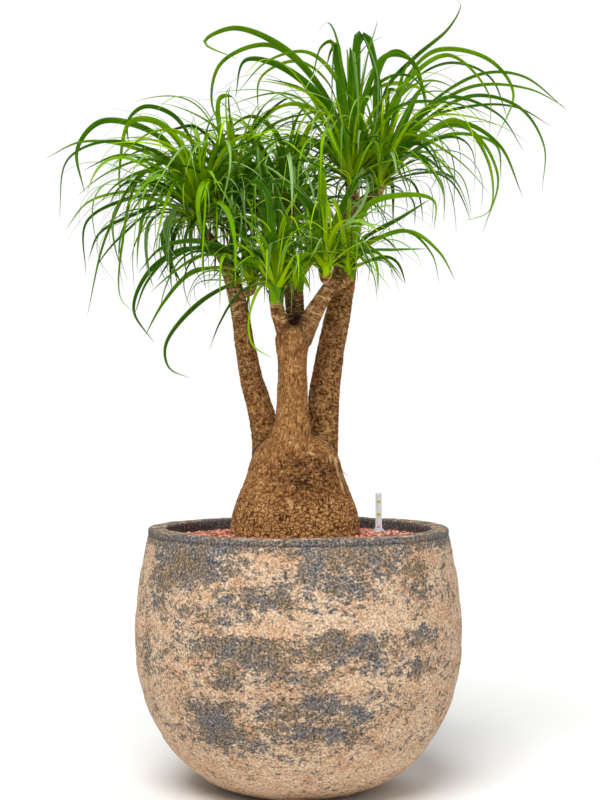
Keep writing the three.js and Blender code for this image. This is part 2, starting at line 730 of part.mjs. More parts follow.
// The bud that the leaves spring from, standing on the branch's flat end.
function makeBud(head) {
  const [x, y, z] = LIMBS[head.limb].at(-1);
  const radius = LEAF.coreRadius;
  const top = LEAF.coreHeight;
  return turned([
    [0, 0], [0.75 * radius, 0], [radius, 0.3 * top], [0.8 * radius, 0.75 * top], [0, top],
  ], LEAF.coreSides).translate(x, y, z + GAP);
}

function makeHead(head, leaves) {
  let solid = solidFrom(makeBud(head));
  for (const leaf of leaves) solid = solid.add(solidFrom(makeBlade(leaf)));
  return geometryFrom(solid);
}

// ----------------------------------------------------------------- assembly

const FINISH = {
  pot: { color: 0xb59674, roughness: 0.95, metalness: 0 },
  soil: { color: 0xa85a48, roughness: 0.95, metalness: 0 },
  trunk: { color: 0x9a6a3c, roughness: 0.9, metalness: 0 },
  gaugeTube: { color: 0xdfe3e2, roughness: 0.15, metalness: 0, transparent: true, opacity: 0.4 },
  gaugeCollar: { color: 0xb9bdbf, roughness: 0.5, metalness: 0 },
  gaugeFloat: { color: 0xc4371c, roughness: 0.45, metalness: 0 },
};

const group = new THREE.Group();

function addPiece(name, geometry, finish) {
  const mesh = new THREE.Mesh(geometry, new THREE.MeshStandardMaterial(finish));
  mesh.name = name;
  group.add(mesh);
}

addPiece('pot', makePot(), FINISH.pot);
addPiece('clay_granules', makeSoil(), FINISH.soil);
addPiece('trunk', makeTrunk(), FINISH.trunk);
addPiece('gauge_tube', makeGaugeTube(), FINISH.gaugeTube);
addPiece('gauge_collar', makeGaugeCollar(), FINISH.gaugeCollar);
addPiece('gauge_float', makeGaugeFloat(), FINISH.gaugeFloat);
const leaves = growLeaves();
for (const [name, head] of Object.entries(HEADS)) {
  addPiece(name, makeHead(head, leaves[name]), { color: head.colour, roughness: 0.5, metalness: 0 });
}

export default group;
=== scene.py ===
# %% [markdown]
# # A potted ponytail palm
# This notebook dresses a measured model of a house plant. The model gives every
# part's size and place. Here each part gets the surface of the real thing: a
# rough clay pot, fired clay granules, corky bark, and some nine hundred strap
# leaves. Everything is in metres, with +Z up and the plant's front towards -Y.

# %% Load the measured parts
import math
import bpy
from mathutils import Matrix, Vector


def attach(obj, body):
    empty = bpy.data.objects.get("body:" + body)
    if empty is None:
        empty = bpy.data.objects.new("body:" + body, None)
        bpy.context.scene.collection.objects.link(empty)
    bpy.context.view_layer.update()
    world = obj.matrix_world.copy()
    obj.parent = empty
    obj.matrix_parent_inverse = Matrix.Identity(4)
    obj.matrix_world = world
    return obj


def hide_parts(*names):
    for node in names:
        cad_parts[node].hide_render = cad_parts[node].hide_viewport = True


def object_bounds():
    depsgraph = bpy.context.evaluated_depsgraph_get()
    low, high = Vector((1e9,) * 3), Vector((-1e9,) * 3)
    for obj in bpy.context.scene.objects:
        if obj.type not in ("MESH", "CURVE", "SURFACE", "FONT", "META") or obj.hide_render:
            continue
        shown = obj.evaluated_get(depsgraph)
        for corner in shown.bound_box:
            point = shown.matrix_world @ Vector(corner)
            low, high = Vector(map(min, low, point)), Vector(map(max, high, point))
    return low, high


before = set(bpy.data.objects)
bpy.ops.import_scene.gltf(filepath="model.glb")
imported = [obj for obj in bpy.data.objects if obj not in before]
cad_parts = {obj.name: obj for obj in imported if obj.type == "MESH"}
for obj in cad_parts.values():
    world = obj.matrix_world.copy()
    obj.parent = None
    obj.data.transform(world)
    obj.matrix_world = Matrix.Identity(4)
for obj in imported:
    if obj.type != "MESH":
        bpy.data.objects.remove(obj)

from types import SimpleNamespace

import bmesh
import bpy
import numpy as np
from mathutils import Vector

MM = 0.001
PLANTER = "planter"
cad_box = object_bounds()

# %% [markdown]
# ## Tools for the bench
# Colours are picked as they look on a screen, in sRGB, while Blender mixes light
# in linear values, so one function turns the first into the second. Others add
# a node to any tree, make a mesh, read its points back, and store numbers on
# them, which nodes read by name.

# %% Colours, nodes and meshes
def linear(code):
    """An sRGB hex colour such as "#6b8f3a" as linear RGBA."""
    parts = [int(code[i:i + 2], 16) / 255 for i in (1, 3, 5)]
    return (*[c / 12.92 if c <= 0.04045 else ((c + 0.055) / 1.055) ** 2.4 for c in parts], 1.0)


FAMILIES = ("ShaderNode", "GeometryNode", "FunctionNode", "")  # how the names of nodes begin


def plug(tree, node, inputs):
    """Fills a node's inputs, in their order or by name, with values, sockets or nodes."""
    for key, value in inputs.items() if isinstance(inputs, dict) else enumerate(inputs):
        if isinstance(value, bpy.types.Node):
            value = value.outputs[0]
        if isinstance(value, bpy.types.NodeSocket):
            tree.links.new(value, node.inputs[key])
        else:
            node.inputs[key].default_value = value


def add(tree, kind, inputs=(), stops=(), **settings):
    """Adds a node: its kind, with its operation after a space, inputs, colour stops, settings."""
    kind, _, operation = kind.partition(" ")
    family = next(family for family in FAMILIES if hasattr(bpy.types, family + kind))
    made = tree.nodes.new(family + kind)
    if operation:
        made.operation = operation
    for name, value in settings.items():
        setattr(made, name, value)
    for _ in stops[2:]:
        made.color_ramp.elements.new(0.5)
    for stop, (at, colour) in zip(made.color_ramp.elements if stops else (), stops):
        stop.position = at
        stop.color = linear(colour)
    plug(tree, made, inputs)
    return made


def show(name, data):
    """An object for a mesh, a light or a camera, put into the scene."""
    obj = bpy.data.objects.new(name, data)
    bpy.context.scene.collection.objects.link(obj)
    return obj


def mesh_object(name, points, faces, edges=()):
    """A smooth-shaded mesh from points in millimetres."""
    mesh = bpy.data.meshes.new(name)
    mesh.from_pydata((np.asarray(points) * MM).tolist(), list(edges), faces)
    mesh.polygons.foreach_set("use_smooth", [True] * len(mesh.polygons))
    return show(name, mesh)


def points_of(obj):
    """A mesh's points in millimetres, one row each."""
    values = np.empty(len(obj.data.vertices) * 3, np.float32)
    obj.data.vertices.foreach_get("co", values)
    return values.reshape(-1, 3).astype(float) / MM


def store(obj, name, values):
    """Stores one number or one vector for each point of a mesh."""
    values = np.asarray(values, np.float32)
    vectors = values.ndim == 2
    layer = obj.data.attributes.new(name, "FLOAT_VECTOR" if vectors else "FLOAT", "POINT")
    layer.data.foreach_set("vector" if vectors else "value", values.ravel())


# %% [markdown]
# Geometry Nodes trees are built by script too. Each has named inputs for its
# sizes. `grow` runs a tree on an object once and keeps what comes out as the
# object's own plain mesh.

# %% Geometry Nodes
def new_tree(name, **sizes):
    """A tree with a geometry input and output and a named input of some kind for each size."""
    tree = bpy.data.node_groups.new(name, "GeometryNodeTree")
    sockets = [("Geometry", "INPUT", "Geometry"), *[(label, "INPUT", kind) for label, kind in sizes.items()],
               ("Geometry", "OUTPUT", "Geometry")]
    for label, way, kind in sockets:
        tree.interface.new_socket(label, in_out=way, socket_type="NodeSocket" + kind)
    return tree, add(tree, "NodeGroupInput").outputs


def finish_tree(tree, geometry, material):
    """Ends a tree in real geometry with its material."""
    real = add(tree, "RealizeInstances", [geometry])
    dressed = add(tree, "SetMaterial", {"Geometry": real, "Material": material})
    add(tree, "NodeGroupOutput", {"Geometry": dressed})
    print("tree", tree.name, "has", len(tree.nodes), "nodes")


def push_out(tree, sizes, distance, material):
    """Ends a tree by moving its skin along its normals."""
    push = add(tree, "VectorMath SCALE", {0: add(tree, "InputNormal"), "Scale": distance})
    moved = add(tree, "SetPosition", {"Geometry": sizes["Geometry"], "Offset": push})
    finish_tree(tree, moved, material)


def grow(obj, tree, **values):
    """Runs a tree on an object and keeps the result as the object's plain mesh."""
    sockets = {
        item.name: item.identifier for item in tree.interface.items_tree
        if item.item_type == "SOCKET" and item.in_out == "INPUT"
    }
    modifier = obj.modifiers.new(tree.name, "NODES")
    modifier.node_group = tree
    for name, value in values.items():
        modifier[sockets[name]] = value
    settle(obj)
    print(obj.name, "has", len(obj.data.polygons), "faces")


def modify(obj, kind, **settings):
    """Gives an object one of Blender's modifiers."""
    modifier = obj.modifiers.new(kind.lower(), kind)
    for name, value in settings.items():
        setattr(modifier, name, value)


def settle(obj):
    """Makes what an object's modifiers give its own mesh, and removes them."""
    graph = bpy.context.evaluated_depsgraph_get()
    grown = bpy.data.meshes.new_from_object(
        obj.evaluated_get(graph), preserve_all_data_layers=True, depsgraph=graph,
    )
    obj.modifiers.clear()
    obj.data = grown


def hand_in(piece, slot, *nodes, body=PLANTER):
    """Fixes a finished piece to its body and hides the measured parts it replaces; slot is not used."""
    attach(piece, body)
    if nodes:
        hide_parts(*nodes)
    print(piece.name, "rides on", body, "and replaces", nodes or "nothing")


# %% [markdown]
# ## Camera, light and floor
# The plant was seen from a little above its stem base, straight ahead, with
# a long lens. The picture is 600 by 800, and a focal length of 1600 px over its
# height is a 72 mm lens on a 36 mm sensor. The light is a studio's: a wide key
# from the upper left, a weak fill from the right, one from behind that shines
# through the crown, and white all round. Suns light the whole floor alike, so it
# meets the white without an edge. The camera sees the white brighter than it
# shines on the plant, which keeps the shadows between the leaves deep.

# %% Camera
EYE = (2.25, -2400, 578)  # millimetres
camera_data = bpy.data.cameras.new("camera")
camera_data.sensor_width = 36
camera_data.lens = 72
camera_data.clip_end = 60
camera = show("camera", camera_data)
camera.location = Vector(EYE) * MM
camera.rotation_euler = (math.pi / 2, 0, 0)
bpy.context.scene.camera = camera
bpy.context.scene.view_settings.view_transform = "Standard"
print("camera at", EYE, "with a lens of", camera_data.lens, "mm")

# %% Light
SUNS = {  # where each shines from, its strength, and how wide it is in degrees
    "key": ((-0.25, -0.85, 1.4), 3.0, 36),
    "fill": ((1.0, -0.8, 0.6), 0.4, 60),
    "through": ((0.3, 1.0, 1.0), 0.5, 40),
}
for name, (place, strength, width) in SUNS.items():
    light = bpy.data.lights.new(name, "SUN")
    light.energy = strength
    light.angle = math.radians(width)
    show(name, light).rotation_euler = Vector(place).to_track_quat("Z", "Y").to_euler()

WHITE_LIGHT, WHITE_SEEN = 0.23, 1.0  # how strongly the white shines, and how the camera sees it
world = bpy.data.worlds.new("white_studio")
world.use_nodes = True
tree = world.node_tree
seen = add(tree, "LightPath").outputs["Is Camera Ray"]
strength = add(tree, "MapRange", [seen, 0, 1, WHITE_LIGHT, WHITE_SEEN])
plug(tree, tree.nodes["Background"], {"Color": linear("#ffffff"), "Strength": strength})
bpy.context.scene.world = world
print("suns:", ", ".join(SUNS))


# %% Floor
def plain_material(name, colour, roughness):
    """A material of one colour, with its node tree and its Principled shader."""
    material = bpy.data.materials.new(name)
    material.use_nodes = True
    tree = material.node_tree
    shader = tree.nodes["Principled BSDF"]
    plug(tree, shader, {"Base Color": linear(colour), "Roughness": roughness})
    print("material", name)
    return material, tree, shader


FLOOR_RADIUS, FLOOR_SIDES = 12000, 96
floor_points = [
    (FLOOR_RADIUS * math.cos(a), FLOOR_RADIUS * math.sin(a), 0)
    for a in np.linspace(0, 2 * math.pi, FLOOR_SIDES, endpoint=False)
]
floor = mesh_object("floor", floor_points, [tuple(range(FLOOR_SIDES))])
floor.data.materials.append(plain_material("pale_floor", "#f6f6f5", 0.95)[0])

# %% [markdown]
# ## The pot
# The real pot is thrown or pressed from coarse clay, and a dark slip is wiped
# over it so that it stays in the rough places. Its body is a turned shape, so a
# profile swept round the axis makes it. The skin then needs relief that follows
# a rule: nearly level ledges, as in sandstone, and grit. Geometry Nodes push the
# points out along their normals by noise, which can be given real sizes.

# %% Turned shapes
def bands(rings):
    """Faces between closed rows of point numbers, from each row to the next."""
    faces = []
    for lower, upper in zip(rings, rings[1:]):
        for i in range(len(lower)):
            j = (i + 1) % len(lower)
            corners = tuple(dict.fromkeys((lower[i], lower[j], upper[j], upper[i])))
            if len(corners) > 2:
                faces.append(corners)
    return faces


def turned(name, profile, sides, centre=(0, 0)):
    """A closed body from a profile of (radius, height), with the material on its left."""
    turns = np.arange(sides) * 2 * math.pi / sides
    points, rings = [], []
    for radius, height in profile:
        if radius == 0:
            rings.append([len(points)] * sides)
            points.append((centre[0], centre[1], height))
            continue
        rings.append(list(range(len(points), len(points) + sides)))
        points += [(centre[0] + radius * math.cos(a), centre[1] + radius * math.sin(a), height)
                   for a in turns]
    if profile[0][0]:
        rings.append(rings[0])
    return mesh_object(name, points, bands(rings))


def between(start, end, step):
    """Points from start to end, and end itself left out, no further apart than step."""
    start, end = np.array(start, float), np.array(end, float)
    count = max(1, math.ceil(np.linalg.norm(end - start) / step))
    return [tuple(start + (end - start) * i / count) for i in range(count)]


# %% The pot's profile
POT = SimpleNamespace(  # millimetres, but for shoulder_power and sides
    foot=68, belly=242.5, belly_height=225, shoulder=220.5, shoulder_power=1.9,
    height=387, lip_height=8, lip=223, mouth=199, mouth_foot=352, inner_shoulder=(217, 290),
    inner_belly=220, inner_foot=56, floor=22, round=2, sides=500, step=3.2,
)


def bulge(turn, foot, belly, low):
    """A point, by its turn, of the quarter ellipse from a foot up to the belly's height."""
    return foot + (belly - foot) * math.sin(turn), low + (POT.belly_height - low) * (1 - math.cos(turn))


def pot_radius(height):
    """The pot's outer radius at a height."""
    if height < POT.belly_height:
        return bulge(math.acos(1 - height / POT.belly_height), POT.foot, POT.belly, 0)[0]
    along = (height - POT.belly_height) / (POT.height - POT.belly_height)
    swell = POT.belly - POT.shoulder
    return POT.shoulder + swell * (1 - along ** POT.shoulder_power)


def pot_profile():
    """The pot's section: up its outside, over the lip and down its inside."""
    step = POT.step
    lip_foot = POT.height - POT.lip_height
    quarter = math.pi / 2
    profile = [(0, 0), (POT.foot / 2, 0)]
    arc_steps = round(quarter * (POT.belly + POT.belly_height) / 2 / step)
    for turn in np.linspace(0, quarter, arc_steps, endpoint=False):
        profile.append(bulge(turn, POT.foot, POT.belly, 0))
    for height in np.arange(POT.belly_height, lip_foot - step / 2, step):
        profile.append((pot_radius(height), height))
    lip, mouth, top, edge = POT.lip, POT.mouth, POT.height, POT.round
    profile += [(pot_radius(lip_foot) - 1, lip_foot), (lip, lip_foot + 0.8)]
    profile += between((lip, lip_foot + 2.2), (lip, top - edge), 2)
    profile += [(lip, top - edge), (lip - edge * 0.3, top - edge * 0.3)]
    profile += between((lip - edge, top), (mouth + edge, top), step)
    profile += [(mouth + edge, top), (mouth + edge * 0.3, top - edge * 0.3)]
    mouth_foot = (mouth + 5, POT.mouth_foot)
    profile += [*between((mouth, top - edge), mouth_foot, step), mouth_foot, POT.inner_shoulder]
    for turn in np.linspace(quarter, 0, 6):
        profile.append(bulge(turn, POT.inner_foot, POT.inner_belly, POT.floor))
    return profile + [(0, POT.floor)]


profile = pot_profile()
pot = turned("rough_clay_pot", profile, POT.sides)
print("pot profile:", len(profile), "rings")

# %% [markdown]
# The slip lies in broad patches. The ones at the front are listed, as
# across, height, half width, half height and strength, and the back carries the
# same ones turned round. Bare bands run round the pot between them. They are
# stored on the points as "slip", together with the dark band of the lip and the
# dark inside, and both the relief and the colour read it.

# %% Where the dark slip lies
PATCHES = [
    (-152, 356, 62, 34, 0.95), (-190, 330, 30, 40, 0.7), (-60, 376, 60, 8, 0.7),
    (-52, 311, 45, 18, 0.6), (50, 345, 50, 40, 0.7), (110, 366, 60, 14, 0.7),
    (168, 334, 20, 24, 0.8), (60, 300, 40, 20, 0.45), (-86, 248, 60, 27, 0.95),
    (-60, 225, 40, 14, 0.8), (48, 246, 45, 22, 0.7), (99, 236, 22, 22, 0.8),
    (172, 248, 28, 16, 0.8), (-98, 201, 18, 17, 1.0), (0, 168, 52, 46, 0.8),
    (-20, 205, 16, 16, 0.6), (-112, 131, 36, 34, 1.0), (-60, 100, 40, 14, 0.4),
    (79, 140, 30, 28, 0.75), (167, 207, 24, 16, 0.6), (-215, 230, 16, 40, 0.5),
    (125, 180, 18, 18, 0.55), (20, 125, 60, 12, 0.6), (-150, 285, 40, 10, 0.4),
]
BARE_BANDS = [(266, 12), (178, 10), (42, 42)]  # height and half height, where hands wiped it off
BACK_SHIFT = (35, -20)  # millimetres across and up by which the back's patches differ
SLIP = {"below_lip": 0.6, "lip": 1.15, "inside": 1.35, "rim": 0.5}  # 1 covers, over 1 is darker


def slip_on(points):
    """How thickly the slip lies at each point of the pot."""
    x, y, z = points.T
    radius = np.hypot(x, y)
    bearing = np.arctan2(x, -y)
    slip = np.zeros(len(points))
    for side, (shift, lift) in enumerate(((0, 0), BACK_SHIFT)):
        for across, height, wide, tall, strength in PATCHES:
            girth = pot_radius(height)
            middle = math.asin(max(-1, min(1, (across + shift) / girth))) + side * math.pi
            away = (bearing - middle + math.pi) % (2 * math.pi) - math.pi
            spread = (away * girth / wide) ** 2 + ((z - height - lift) / tall) ** 2
            slip = np.maximum(slip, strength * np.exp(-0.7 * spread))
    wander = 7 * np.sin(2 * bearing + 1) + 4 * np.sin(5 * bearing)
    for height, tall in BARE_BANDS:
        bare = np.exp(-((z - height - wander) / tall) ** 2)
        slip = slip * (1 - 0.6 * bare) - 0.18 * bare
    outside = radius > POT.mouth + 20
    lip_foot = POT.height - POT.lip_height
    slip = np.where(z > lip_foot - 12, np.maximum(slip, SLIP["below_lip"]), slip)
    slip = np.where((z > lip_foot - 0.5) & outside, SLIP["lip"], slip)
    slip = np.where((z > 270) & ~outside, SLIP["inside"], slip)
    return np.where(z > POT.height - 1, SLIP["rim"], slip)


pot_points = points_of(pot)
slip = slip_on(pot_points)
store(pot, "slip", slip)
print("slip lies thickly on", int((slip > 0.5).sum()), "of", len(slip), "points")
radius, height = np.hypot(*pot_points.T[:2]), pot_points[:, 2]
buried = (radius < 214) & (height > 270) & (height < 330)  # the inside, under the granules
store(pot, "seen", ((height > 4) & ~buried).astype(float))

# %% [markdown]
# Stoneware with dark slip: the body is peach and sandy, the slip is a blue grey,
# and where it is thin, olive and rust grains show. Dry clay has hardly any gloss.
# The slip's edge breaks up over specks and flakes of 4 to 13 mm. The flakes also
# make the relief, so that dark and light fall with its crests and hollows.

# %% Slip pattern, for both kinds of tree
MOTTLE = {"patch": 60, "flake": 13, "speck": 4.4, "grain": 3.2}  # millimetres
SLIP_EDGE = (0.1, 0.38)  # where slip starts to show, and where it covers


def slip_mask(tree, place, slip):
    """How much slip shows, 0 to 1, from a place in metres and the stored slip."""
    level = add(tree, "VectorMath MULTIPLY", [place, (1, 1, 1.7)])
    total = add(tree, "Math MULTIPLY_ADD", [slip, 0.8, -2.7])
    for name, strength in (("patch", 1.2), ("speck", 1.95), ("flake", 2.35)):
        noise = add(tree, "TexNoise", {
            "Vector": level, "Scale": 1 / (MOTTLE[name] * MM), "Detail": 4.0, "Roughness": 0.65,
        })
        total = add(tree, "Math MULTIPLY_ADD", [noise, strength, total])
    return add(tree, "MapRange", [total, SLIP_EDGE[0], SLIP_EDGE[1]]), noise


# %% Pot relief
tree, sizes = new_tree("clay_relief", **{
    "Ledge spacing": "Float", "Ledge height": "Float", "Grit height": "Float", "Clay": "Material",
})
place = add(tree, "InputPosition")
slip, shown = [add(tree, "InputNamedAttribute", [name]) for name in ("slip", "seen")]
drift = add(tree, "TexNoise", {"Vector": place, "Scale": 6.0, "Detail": 3.0})
height = add(tree, "SeparateXYZ", [place]).outputs["Z"]
wander = add(tree, "Math MULTIPLY_ADD", [drift, 0.09, height])
turns = add(tree, "Math DIVIDE", [wander, sizes["Ledge spacing"]])
ledge = add(tree, "Math FRACT", [turns])
step = add(tree, "MapRange", [ledge, 0, 0.75], interpolation_type="SMOOTHSTEP")
drop = add(tree, "MapRange", [ledge, 0.9, 1.0, 1.0, 0.0], interpolation_type="SMOOTHSTEP")
shelf = add(tree, "Math MULTIPLY", [step, drop])
shelves = add(tree, "Math MULTIPLY", [shelf, sizes["Ledge height"]])
mask, flakes = slip_mask(tree, place, slip)
flakes_height = add(tree, "Math MULTIPLY_ADD", [flakes, sizes["Grit height"], shelves])
sunk = add(tree, "Math MULTIPLY_ADD", [mask, -0.5 * MM, flakes_height])
hidden = add(tree, "Math MULTIPLY", [sunk, shown])
push_out(tree, sizes, hidden, sizes["Clay"])
clay_relief = tree

# %% Pot material: coarse stoneware with wiped slip
stoneware, tree, shader = plain_material("slipped_stoneware", "#c99f74", 0.93)
place = add(tree, "TexCoord").outputs["Object"]
slip = add(tree, "Attribute", attribute_name="slip").outputs["Fac"]
mask, flakes = slip_mask(tree, place, slip)
grain = add(tree, "TexNoise", {
    "Vector": place, "Scale": 1 / (MOTTLE["grain"] * MM), "Detail": 3.0, "Roughness": 0.75,
})
blush = add(tree, "TexNoise", {"Vector": place, "Scale": 1 / (38 * MM), "Detail": 4.0, "Roughness": 0.7})
sandy = add(tree, "ValToRGB", [grain], stops=[
    (0.3, "#6a5242"), (0.41, "#b99678"), (0.52, "#dabb98"), (0.66, "#f5e6cc"),
])
rosy = add(tree, "ValToRGB", [grain], stops=[
    (0.3, "#684636"), (0.42, "#b58265"), (0.54, "#d3a582"), (0.68, "#e8c8a8"),
])
slate = add(tree, "ValToRGB", [grain], stops=[
    (0.3, "#222326"), (0.43, "#4d4d52"), (0.55, "#77767a"), (0.64, "#a39a8c"), (0.73, "#dcc4a2"),
])
rusty = add(tree, "ValToRGB", [grain], stops=[
    (0.31, "#2a2725"), (0.43, "#65553f"), (0.54, "#93825f"), (0.62, "#c68f62"), (0.71, "#e8d2a2"),
])
rose_share = add(tree, "MapRange", [blush, 0.45, 0.7])
body = add(tree, "Mix", {"Factor": rose_share, 6: sandy, 7: rosy}, data_type="RGBA").outputs[2]
thin = add(tree, "MapRange", [blush, 0.38, 0.62, 0, 0.75])
dark = add(tree, "Mix", {"Factor": thin, 6: slate, 7: rusty}, data_type="RGBA").outputs[2]
strong = add(tree, "MapRange", [slip, 1.0, 1.4])
dark = add(tree, "Mix", {"Factor": strong, 6: dark, 7: slate}, data_type="RGBA").outputs[2]
skin = add(tree, "Mix", {"Factor": mask, 6: body, 7: dark}, data_type="RGBA").outputs[2]
relief = add(tree, "Math MULTIPLY_ADD", [flakes, 0.6, grain])
bump = add(tree, "Bump", {"Height": relief, "Strength": 0.9, "Distance": 1.6 * MM})
plug(tree, shader, {"Base Color": skin, "Normal": bump, "Specular IOR Level": 0.25})

grow(pot, clay_relief, **{
    "Ledge spacing": 62 * MM, "Ledge height": 1.1 * MM, "Grit height": 1.8 * MM, "Clay": stoneware,
})
hand_in(pot, "pot", "pot")

# %% [markdown]
# ## The clay granules
# The plant stands in fired clay granules of 5 to 8 mm, reddish pink and dusty.
# The measured model has the bed as one body, which stays as the layer below. The
# loose top layer is scattered over it by Geometry Nodes: points on the bed's
# upper side at a least distance, a few-sided ball on each, squashed and turned
# by chance, and then dented by noise so that no two are alike.

# %% Granule material: fired clay
granule_clay, tree, shader = plain_material("fired_clay_granules", "#b86a58", 0.95)
tint = add(tree, "Attribute", attribute_name="tint").outputs["Fac"]
place = add(tree, "TexCoord").outputs["Object"]
dust = add(tree, "TexNoise", {"Vector": place, "Scale": 1 / (2.2 * MM), "Detail": 3.0})
shade = add(tree, "Math MULTIPLY_ADD", [dust, 0.4, tint])
colour = add(tree, "ValToRGB", [shade], stops=[
    (0.1, "#3a1915"), (0.34, "#9a5042"), (0.62, "#d08069"), (0.95, "#f0b89c"),
])
bump = add(tree, "Bump", {"Height": dust, "Strength": 0.7, "Distance": 0.8 * MM})
plug(tree, shader, {"Base Color": colour, "Normal": bump, "Specular IOR Level": 0.2})

# %% Scatter the loose granules
GAUGE_AXIS = (124, 76)  # where the gauge stands, across and back
BED_TOP = 371  # millimetres, as all of these
LAYER = {"lowest": 360, "gauge_room": 17, "deepest": -3.6, "highest": 0.2, "dent": 1.8, "dent_size": 4.5}
LEVEL = 0.6  # how far up the bed's skin must face to carry a granule
FULL_TURN = 6.283  # radians
tree, sizes = new_tree("loose_layer", **{
    "Bed": "Object", "Least distance": "Float", "Granule": "Float", "Seed": "Int",
    "Clay": "Material",
})
bed = add(tree, "GeometryNodeObjectInfo", [sizes["Bed"]]).outputs["Geometry"]
place = add(tree, "InputPosition")
height = add(tree, "SeparateXYZ", [place]).outputs["Z"]
facing = add(tree, "SeparateXYZ", [add(tree, "InputNormal")]).outputs["Z"]
gap = add(tree, "VectorMath DISTANCE", [place, Vector((*GAUGE_AXIS, BED_TOP)) * MM]).outputs["Value"]
top = True
for value, least in ((height, LAYER["lowest"] * MM), (facing, LEVEL), (gap, LAYER["gauge_room"] * MM)):
    more = add(tree, "Compare GREATER_THAN", [value, least])
    top = add(tree, "BooleanMath AND", [top, more])
points = add(tree, "DistributePointsOnFaces", {
    "Mesh": bed, "Selection": top, "Distance Min": sizes["Least distance"], "Density Max": 90000.0,
    "Seed": sizes["Seed"],
}, distribute_method="POISSON")
depth, turn, squash = [
    add(tree, "RandomValue", {"Min": least, "Max": most, "Seed": seed}, data_type="FLOAT_VECTOR")
    for least, most, seed in (
        ((0, 0, LAYER["deepest"] * MM), (0, 0, LAYER["highest"] * MM), 5),
        ((0, 0, 0), (FULL_TURN, FULL_TURN, FULL_TURN), sizes["Seed"]),
        ((0.8, 0.8, 0.7), (1.15, 1.1, 1.0), 7),
    )
]
sunk = add(tree, "SetPosition", {"Geometry": points, "Offset": depth})
ball = add(tree, "MeshUVSphere", {"Segments": 7, "Rings": 5, "Radius": 0.5})
size = add(tree, "VectorMath SCALE", {0: squash, "Scale": sizes["Granule"]})
placed = add(tree, "InstanceOnPoints", {"Points": sunk, "Instance": ball, "Rotation": turn, "Scale": size})
hue = add(tree, "RandomValue", {2: 0.15, 3: 0.8, "Seed": 3}).outputs[1]
tinted = add(tree, "StoreNamedAttribute", {
    "Geometry": placed, "Name": "tint", "Value": hue,
}, domain="INSTANCE")
real = add(tree, "RealizeInstances", [tinted])
dents = add(tree, "TexNoise", {"Vector": place, "Scale": 1 / (LAYER["dent_size"] * MM), "Detail": 1.0})
centred = add(tree, "VectorMath SUBTRACT", [dents.outputs["Color"], (0.5, 0.5, 0.5)])
dent = add(tree, "VectorMath SCALE", {0: centred, "Scale": LAYER["dent"] * MM})
dented = add(tree, "SetPosition", {"Geometry": real, "Offset": dent})
finish_tree(tree, add(tree, "SetShadeSmooth", [dented]), sizes["Clay"])

bed_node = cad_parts["clay_granules"]
granules = mesh_object("loose_granules", [], [])
grow(granules, tree, **{
    "Bed": bed_node, "Least distance": 5.4 * MM, "Granule": 7.2 * MM, "Seed": 11, "Clay": granule_clay,
})
hand_in(granules, "clay_granules")

# %% [markdown]
# Between the loose granules the bed shows, in their shade. Its colour is painted
# shade: the same clay, several tones darker, with soft spots of the size of a granule.

# %% Granule bed material: fired clay, darkened as painted shade
clay_painted_shade, tree, shader = plain_material("fired_clay_painted_shade", "#6b342b", 0.95)
place = add(tree, "TexCoord").outputs["Object"]
dust = add(tree, "TexNoise", {"Vector": place, "Scale": 1 / (5 * MM), "Detail": 3.0})
colour = add(tree, "ValToRGB", [dust], stops=[(0.35, "#2b120f"), (0.65, "#8a463a")])
plug(tree, shader, {"Base Color": colour})
# The bed under the loose granules is coloured with this painted shade.
bed_node.data.materials.clear()
bed_node.data.materials.append(clay_painted_shade)

# %% [markdown]
# ## Curves that pass through points
# The stems and the leaves placed by hand follow a few points in space. The
# measured model draws the same curve through them: a Catmull-Rom spline whose
# pace follows the distance between the points, so it never loops where they lie
# close.

# %% A smooth line through points
def spline(points, count):
    """count + 1 evenly spaced points of the curve through some points, and its directions."""
    points = np.asarray(points, float)
    padded = np.vstack([2 * points[0] - points[1], points, 2 * points[-1] - points[-2]])
    runs = []
    fine = np.linspace(0, 1, 24, endpoint=False)[:, None]
    for i in range(len(points) - 1):
        p0, p1, p2, p3 = padded[i:i + 4]
        d0, d1, d2 = [max(math.sqrt(np.linalg.norm(b - a)), 1e-3)
                      for a, b in ((p0, p1), (p1, p2), (p2, p3))]
        m1 = ((p1 - p0) / d0 - (p2 - p0) / (d0 + d1) + (p2 - p1) / d1) * d1
        m2 = ((p2 - p1) / d1 - (p3 - p1) / (d1 + d2) + (p3 - p2) / d2) * d1
        runs.append(p1 + m1 * fine + (3 * (p2 - p1) - 2 * m1 - m2) * fine ** 2
                    + (2 * (p1 - p2) + m1 + m2) * fine ** 3)
    dense = np.vstack([*runs, points[-1:]])
    lengths = np.concatenate([[0], np.cumsum(np.linalg.norm(np.diff(dense, axis=0), axis=1))])
    even = np.linspace(0, lengths[-1], count + 1)
    places, ahead, behind = [
        np.column_stack([np.interp(even + shift, lengths, dense[:, k]) for k in range(3)])
        for shift in (0, 1.5, -1.5)
    ]
    return places, unit(ahead - behind)


def unit(vectors):
    """Vectors of length one, row by row."""
    return vectors / np.maximum(np.linalg.norm(vectors, axis=-1, keepdims=True), 1e-9)


# %% [markdown]
# ## Stem base, trunks and branches
# The ponytail palm stores water in a swollen base, the caudex. Corky bark covers
# it, split into small plates low down and into fine cracks and fibres higher up,
# and the branches carry the rings that old leaves left. The form is one swelling
# skin, so tubes along the limbs and the turned base are fused by a voxel remesh,
# which also rounds the forks. The limbs' stations are the measured model's.

